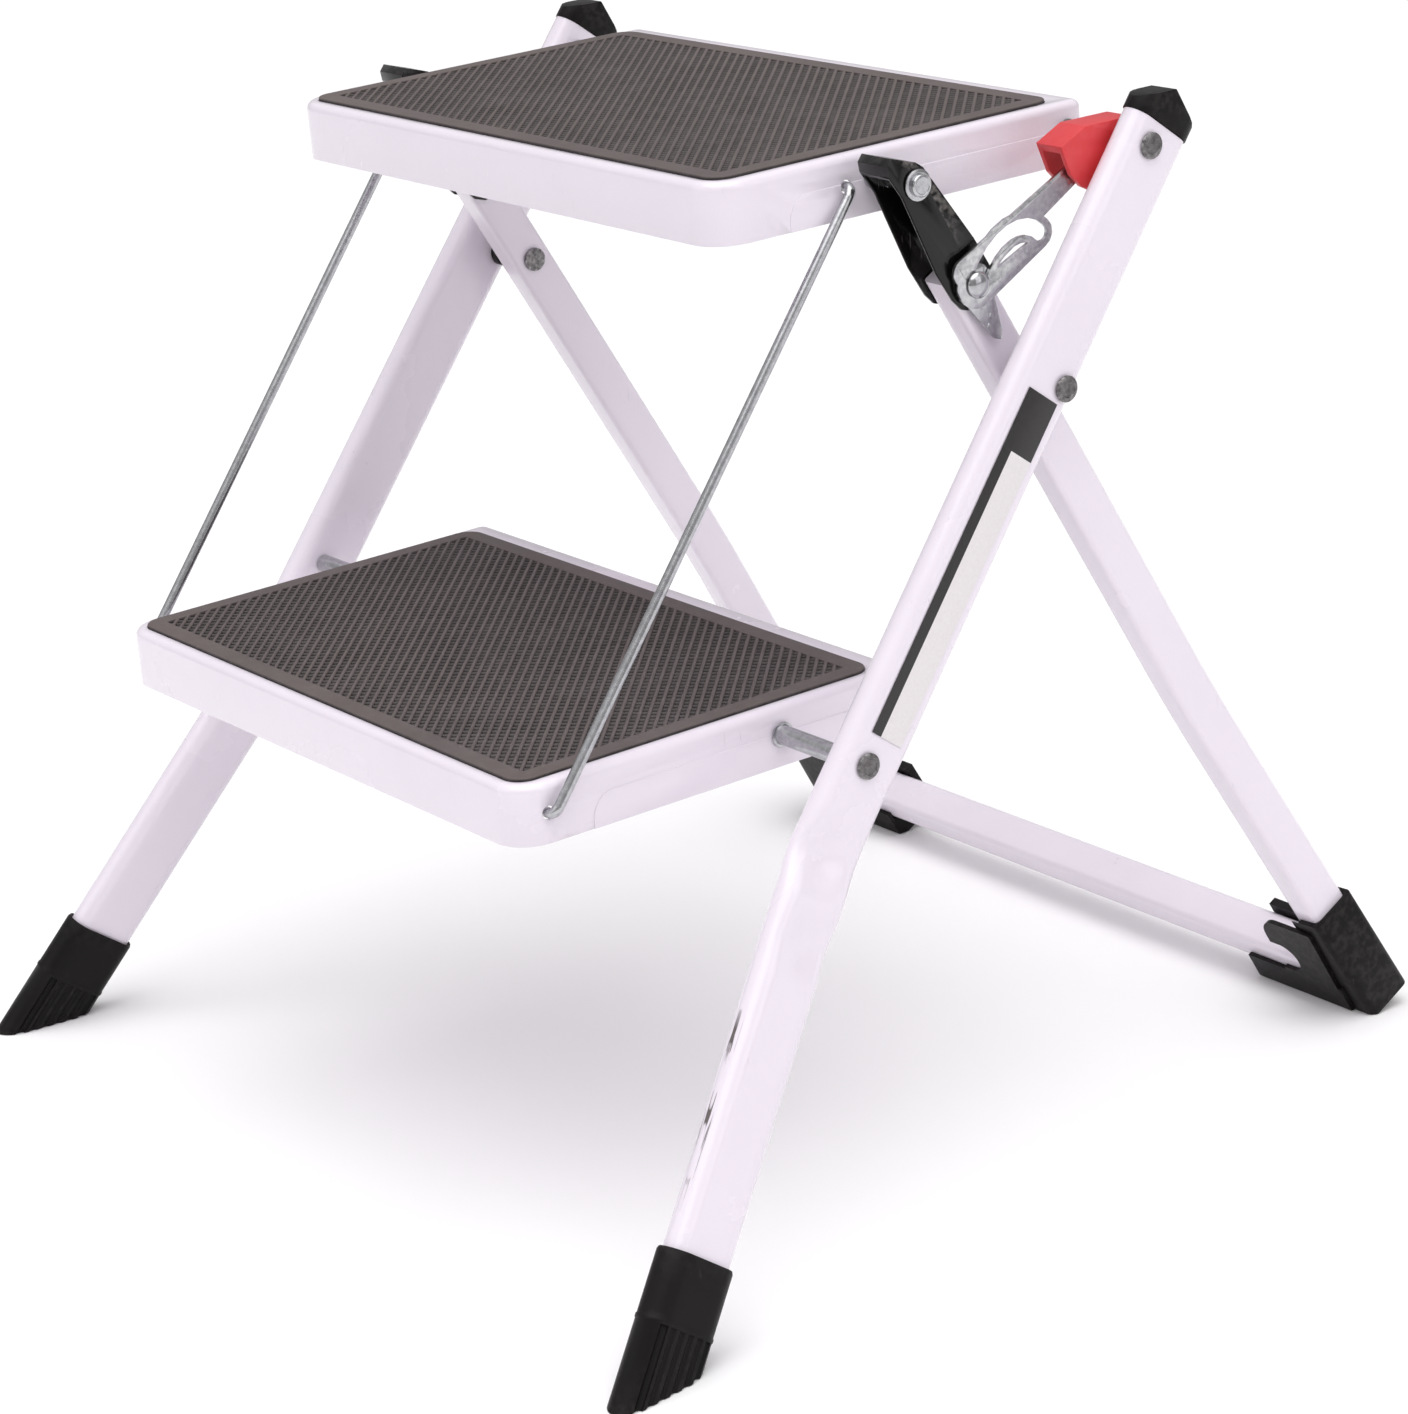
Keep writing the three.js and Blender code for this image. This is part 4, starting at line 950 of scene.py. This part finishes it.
rear_axis_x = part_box("rear_leg_right")[0].x + REAR_WIDTH / 2
rear_up = Vector((0, knee_pivot.y - cross_pivot.y, knee_pivot.z - cross_pivot.z)).normalized()
rear_back = Vector((0, rear_up.z, -rear_up.y))


def rear_centre(height):
    """The middle of the right rear leg at a height."""
    bend = min(max(REAR_BEND + REAR_BEND_REACH - height, 0) / (2 * REAR_BEND_REACH), 1)
    lower = max(REAR_BEND - REAR_BEND_REACH - height, 0)
    out = REAR_SPLAY * (REAR_BEND_REACH * bend ** 2 + lower)
    back = cross_pivot.y + (height - cross_pivot.z) * rear_up.y / rear_up.z
    return Vector((rear_axis_x + out, back, height))


rear_top = knee_pivot + rear_up * REAR_TOP_ABOVE_KNEE
heights = [rear_top.z, 0.34, 0.28, 0.21] + [0.195 - 0.005 * i for i in range(12)]
heights += [0.12, 0.08, 0.04, REAR_END]
route = [rear_centre(height) for height in heights]
rear_leg = section(
    route[0], -rear_up, Vector((1, 0, 0)), REAR_WIDTH, REAR_DEPTH, REAR_CORNER, 24)
draw_out([b - a for a, b in zip(route, route[1:])])
close_ends(rear_leg)
for height, across, share in ((0.172, 0.5, 0.8), (0.156, 0.5, 0.6)):
    spot = rear_centre(height) + Vector((REAR_WIDTH * across, 0, 0)) - rear_back * 0.003
    pick(rear_leg, vertex_test=lambda co: (co - spot).length < 0.0035)
    bpy.ops.transform.translate(
        value=(-0.0011 * share, 0, 0), use_proportional_edit=True,
        proportional_edit_falloff="SMOOTH", proportional_size=0.011)
settle(rear_leg, "rear_tube_right", 50)
for side, piece in (("right", rear_leg), ("left", opposite(rear_leg, "rear_tube_left"))):
    piece.data.materials.append(white_coat)
    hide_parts(f"rear_leg_{side}")
    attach(piece, "rear_frame")

bar_low, bar_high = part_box("rear_crossbar")
bar_mid = (bar_low + bar_high) / 2
crossbar = section(
    Vector((bar_low.x, bar_mid.y, bar_mid.z)), Vector((1, 0, 0)), rear_up, BAR_WIDTH,
    BAR_DEPTH, BAR_CORNER, 32)
draw_out([Vector(((bar_high.x - bar_low.x) / 12, 0, 0))] * 12)
close_ends(crossbar)
settle(crossbar, "floor_crossbar", 50)
crossbar.data.materials.append(white_coat)
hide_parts("rear_crossbar")
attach(crossbar, "rear_frame")

# ---- Rear boots -----------------------------------------------------------------------------
# Moulded corner pieces: a square sleeve up the rear leg with a trough that grips the end of
# the crossbar, and a flat sole that has worn level where it meets the floor.

GUSSET_LENGTH = 0.034
GUSSET_HEIGHT = 0.036
GUSSET_WALL = 0.0022
GUSSET_CORNER = 0.011
GUSSET_ABOVE_OPENING = 0.007
SLEEVE_WALL = 0.0046
OPENING_RADIUS = 0.0088
OPENING_IN = 0.0285
OPENING_RAISE = 0.0085

boot = softened("rear_boot_right", "corner_boot_right", 0.0011)
sleeve_x = rear_centre(0.03).x
front = GUSSET_WALL / 2 - REAR_DEPTH / 2 - SLEEVE_WALL
opening_up = (bar_mid - cross_pivot).dot(rear_up) + OPENING_RAISE
gusset_turn = Matrix((Vector((1, 0, 0)), rear_back, rear_up)).transposed().to_euler()
opening_place = cross_pivot + rear_back * front + rear_up * opening_up
gusset_place = opening_place + rear_up * GUSSET_ABOVE_OPENING
gusset_place.x = sleeve_x - GUSSET_LENGTH / 2
half_size = Vector((GUSSET_LENGTH, GUSSET_WALL, GUSSET_HEIGHT)) / 2
gusset = block(gusset_place - half_size, gusset_place + half_size, gusset_turn)
round_edges(gusset, GUSSET_CORNER, 8, lambda a, b: (
    (a - b).cross(rear_back).length < 1e-5
    and a.x < sleeve_x - GUSSET_LENGTH / 2 and (a - gusset_place).dot(rear_up) > 0))
opening = cylinder(
    OPENING_RADIUS, 0.012, (sleeve_x - OPENING_IN, opening_place.y, opening_place.z),
    rear_back.to_track_quat("Z", "Y").to_euler(), 40)
pick(opening, face_test=lambda centre, normal: normal.x < -0.02)
bpy.ops.transform.translate(value=(-0.02, 0, 0))
bpy.ops.object.mode_set(mode="OBJECT")
cut_away(gusset, opening)
cut_away(boot, gusset, "UNION")
settle(boot, "corner_boot_right", 35)
for side, piece in (("right", boot), ("left", opposite(boot, "corner_boot_left"))):
    piece.data.materials.append(black_plastic)
    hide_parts(f"rear_boot_{side}")
    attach(piece, "rear_frame")

# ---- Support links --------------------------------------------------------------------------
# Black enamelled channels folded from sheet, one on each side. Each hoods over its pin on the
# top tread and pivots at its foot on the head of the rear leg.

enamel, tree, shader = material("black_enamel")
skin = effect(tree, ripple, Scale=800.0, Swell=140.0)
marks = effect(tree, scuffs, Length=55.0, Fineness=900.0, Amount=0.35)
edges = effect(tree, worn, Spread=0.55, Scale=260.0)
base = two_tone(tree, skin, (0.0038, 0.0034, 0.0034, 1), (0.0060, 0.0052, 0.0050, 1))
bare = times(tree, times(tree, edges["Edges"], 0.4), marks["Scratches"], "MAXIMUM")
bare = times(tree, bare, marks["Chips"], "MAXIMUM")
base = blend_colours(tree, bare, base, (0.45, 0.42, 0.40, 1))
gloss = times(tree, remap(tree, skin["Mottle"], 0.3, 0.7, 0.16, 0.26), times(
    tree, bare, 0.3), "ADD")
finish_shader(
    tree, shader, base, gloss, times(tree, skin["Height"], times(tree, bare, 0.5), "SUBTRACT"),
    0.0002, 0.6, times(tree, bare, 0.6))
shader.inputs["Specular IOR Level"].default_value = 0.25
shader.inputs["Coat Weight"].default_value = 0.18
shader.inputs["Coat Roughness"].default_value = 0.1

link = softened("support_link_right", "hooded_channel_right", 0.00045, 2, 25)
for side, piece in (("right", link), ("left", opposite(link, "hooded_channel_left"))):
    piece.data.materials.append(enamel)
    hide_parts(f"support_link_{side}")
    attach(piece, f"support_link_{side}")

# ---- Link pins ------------------------------------------------------------------------------
# The pin at the head of each support link: a bright ring washer under a flat grey head.

low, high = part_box("link_pin_right")
link_pin = turned("link_pin_head_right", link_pivot, [
    (low.x, 0.0026), (low.x + 0.0004, 0.003), (high.x - 0.0035, 0.003),
    (high.x - 0.0034, 0.0062), (high.x - 0.003, 0.0066), (high.x - 0.0026, 0.0065),
    (high.x - 0.0023, 0.0058), (high.x - 0.0023, 0.0048), (high.x - 0.0006, 0.0047),
    (high.x - 0.0001, 0.0043), (high.x, 0.0036), (high.x - 0.0002, 0.0033),
    (high.x - 0.0002, 0.001)])
for side, piece in (("right", link_pin), ("left", opposite(link_pin, "link_pin_head_left"))):
    piece.data.materials.append(zinc)
    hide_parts(f"link_pin_{side}")
    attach(piece, f"support_link_{side}")

# ---- Knee pins ------------------------------------------------------------------------------
# Pins through the heads of the rear legs, closed with a large polished dome outside. The
# right-hand one also runs in the lock lever's slot.

for side in ("right", "left"):
    low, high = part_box(f"knee_pin_{side}")
    near, far = (low.x, high.x) if side == "right" else (-high.x, -low.x)
    knee = turned(f"knee_rivet_{side}", knee_pivot, [
        (near, 0.0046), (near + 0.0006, 0.0056), (near + 0.0019, 0.0056),
        (near + 0.002, 0.003), (far - 0.0032, 0.003), (far - 0.00315, 0.0052),
        (far - 0.0028, 0.0056), (far - 0.0022, 0.0055), (far - 0.0016, 0.005),
        (far - 0.001, 0.0043), (far - 0.0005, 0.0033), (far - 0.0002, 0.0022),
        (far, 0.0009)])
    if side == "left":
        mirror(knee)
    knee.data.materials.append(zinc)
    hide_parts(f"knee_pin_{side}")
    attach(knee, "rear_frame")

# ---- Catch plate ----------------------------------------------------------------------------
# A small tapered steel plate against the right rear leg, which the lever locks against. Zinc
# plated, with two pips pressed near its point.

PIP_RADIUS = 0.0011

catch = softened("catch_plate", "tapered_catch", 0.0003, 2, 25)
for down, behind in ((0.0165, 0.0004), (0.0195, 0.0034)):
    spot = knee_pivot - rear_up * down - rear_back * behind
    spot.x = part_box("catch_plate")[1].x
    deselect()
    bpy.ops.mesh.primitive_uv_sphere_add(
        segments=16, ring_count=8, radius=PIP_RADIUS, location=spot, scale=(0.25, 1, 1))
    apply_place()
    cut_away(catch, bpy.context.object, "UNION")
settle(catch, "tapered_catch", 40)
catch.data.materials.append(zinc)
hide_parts("catch_plate")
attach(catch, "rear_frame")

# ---- Lock lever -----------------------------------------------------------------------------
# A zinc-plated steel plate from the top pivot to the knee, with a long slot that the knee pin
# slides in as the stool folds.

lever = softened("lock_lever", "slotted_lever", 0.0003, 2, 25)
lever.data.materials.append(zinc)
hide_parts("lock_lever")
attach(lever, "lock_lever")

# ---- Red handle -----------------------------------------------------------------------------
# A moulded red grip saddled over the lever's pivot end, with facets at its front for the
# fingers. It is squeezed to free the lock.

red_plastic, tree, shader = material("red_moulded_plastic")
skin = effect(tree, ripple, Scale=1800.0, Swell=300.0)
marks = effect(tree, scuffs, Length=40.0, Fineness=900.0, Amount=0.4)
edges = effect(tree, worn, Spread=0.52, Scale=300.0)
base = two_tone(tree, skin, (0.60, 0.030, 0.038, 1), (0.70, 0.046, 0.052, 1))
base = blend_colours(tree, times(tree, edges["Edges"], 0.35), base, (0.8, 0.2, 0.2, 1))
base = blend_colours(tree, marks["Scratches"], base, (0.8, 0.35, 0.35, 1))
gloss = remap(tree, skin["Mottle"], 0.3, 0.7, 0.34, 0.44)
finish_shader(tree, shader, base, gloss, skin["Height"], 0.0002, 0.6)
shader.inputs["Subsurface Weight"].default_value = 0.05
shader.inputs["Subsurface Radius"].default_value = (0.002, 0.0006, 0.0005)

handle = softened("lock_handle", "red_grip", 0.0008, 3, 20)
handle.data.materials.append(red_plastic)
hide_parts("lock_handle")
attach(handle, "lock_lever")

# ---- Studio ---------------------------------------------------------------------------------
# A pale floor, broad soft lights overhead and at both sides, and the camera.

deselect()
bpy.ops.mesh.primitive_plane_add(size=14, location=(0, 0, -0.0004))
floor = bpy.context.object
floor.name = "studio_floor"
pale_floor, tree, shader = material("pale_floor")
place = own_place(tree)
tone = noise(tree, place, 2.0, 3.0)
base = blend_colours(tree, tone, (0.955, 0.95, 0.955, 1), (0.97, 0.965, 0.97, 1))
tree.links.new(base, shader.inputs["Base Color"])
shader.inputs["Roughness"].default_value = 0.8
floor.data.materials.append(pale_floor)
floor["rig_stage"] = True

world = bpy.data.worlds.new("studio_air")
world.use_nodes = True
air = world.node_tree.nodes["Background"]
direction = put(world.node_tree, "TexCoord", {}).outputs["Generated"]
rise = put(world.node_tree, "SeparateXYZ", {0: direction})
glow = remap(world.node_tree, rise.outputs["Z"], 0.0, 0.9, 0.3, 0.72)
world.node_tree.links.new(glow, air.inputs["Strength"])
air.inputs["Color"].default_value = (1.0, 0.99, 1.0, 1)
bpy.context.scene.world = world

centre = (cad_low + cad_high) / 2


def soft_light(name, place, size, power, tint):
    lamp = bpy.data.lights.new(name, "AREA")
    lamp.shape = "RECTANGLE"
    lamp.size, lamp.size_y = size
    lamp.energy = power
    lamp.color = tint
    holder = bpy.data.objects.new(name, lamp)
    bpy.context.scene.collection.objects.link(holder)
    holder.location = place
    holder.rotation_euler = (centre - Vector(place)).to_track_quat("-Z", "Y").to_euler()


soft_light("overhead_softbox", (0.2, -0.2, 2.2), (2.2, 2.2), 7, (1.0, 0.99, 1.0))
soft_light("side_softbox", (2.3, 0.6, 1.3), (1.4, 1.8), 8, (1.0, 0.985, 1.0))
soft_light("front_softbox", (-0.6, -2.4, 1.0), (1.8, 1.4), 6, (0.98, 0.98, 1.0))
daylight = bpy.data.lights.new("broad_daylight", "SUN")
daylight.energy = 1.5
daylight.angle = math.radians(70)
sky = bpy.data.objects.new("broad_daylight", daylight)
sky.rotation_euler = (math.radians(8), math.radians(12), 0)
bpy.context.scene.collection.objects.link(sky)

AZIMUTH = math.radians(55.61)
ELEVATION = math.radians(19.23)
ROLL = math.radians(-5.17)
CAMERA_PLACE = Vector((1.4754, -1.0004, 0.7845))
LENS = 105.48
back = Vector((
    math.sin(AZIMUTH) * math.cos(ELEVATION), -math.cos(AZIMUTH) * math.cos(ELEVATION),
    math.sin(ELEVATION)))
level = Vector((math.cos(AZIMUTH), math.sin(AZIMUTH), 0))
rising = back.cross(level)
right = level * math.cos(ROLL) + rising * math.sin(ROLL)
over = rising * math.cos(ROLL) - level * math.sin(ROLL)
lens = bpy.data.cameras.new("camera")
lens.sensor_fit = "HORIZONTAL"
lens.sensor_width = 36
lens.lens = LENS
camera = bpy.data.objects.new("camera", lens)
bpy.context.scene.collection.objects.link(camera)
turn = Matrix((right, over, back)).transposed().to_4x4()
camera.matrix_world = Matrix.Translation(CAMERA_PLACE) @ turn
bpy.context.scene.camera = camera
bpy.context.scene.view_settings.view_transform = "Standard"

low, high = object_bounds()
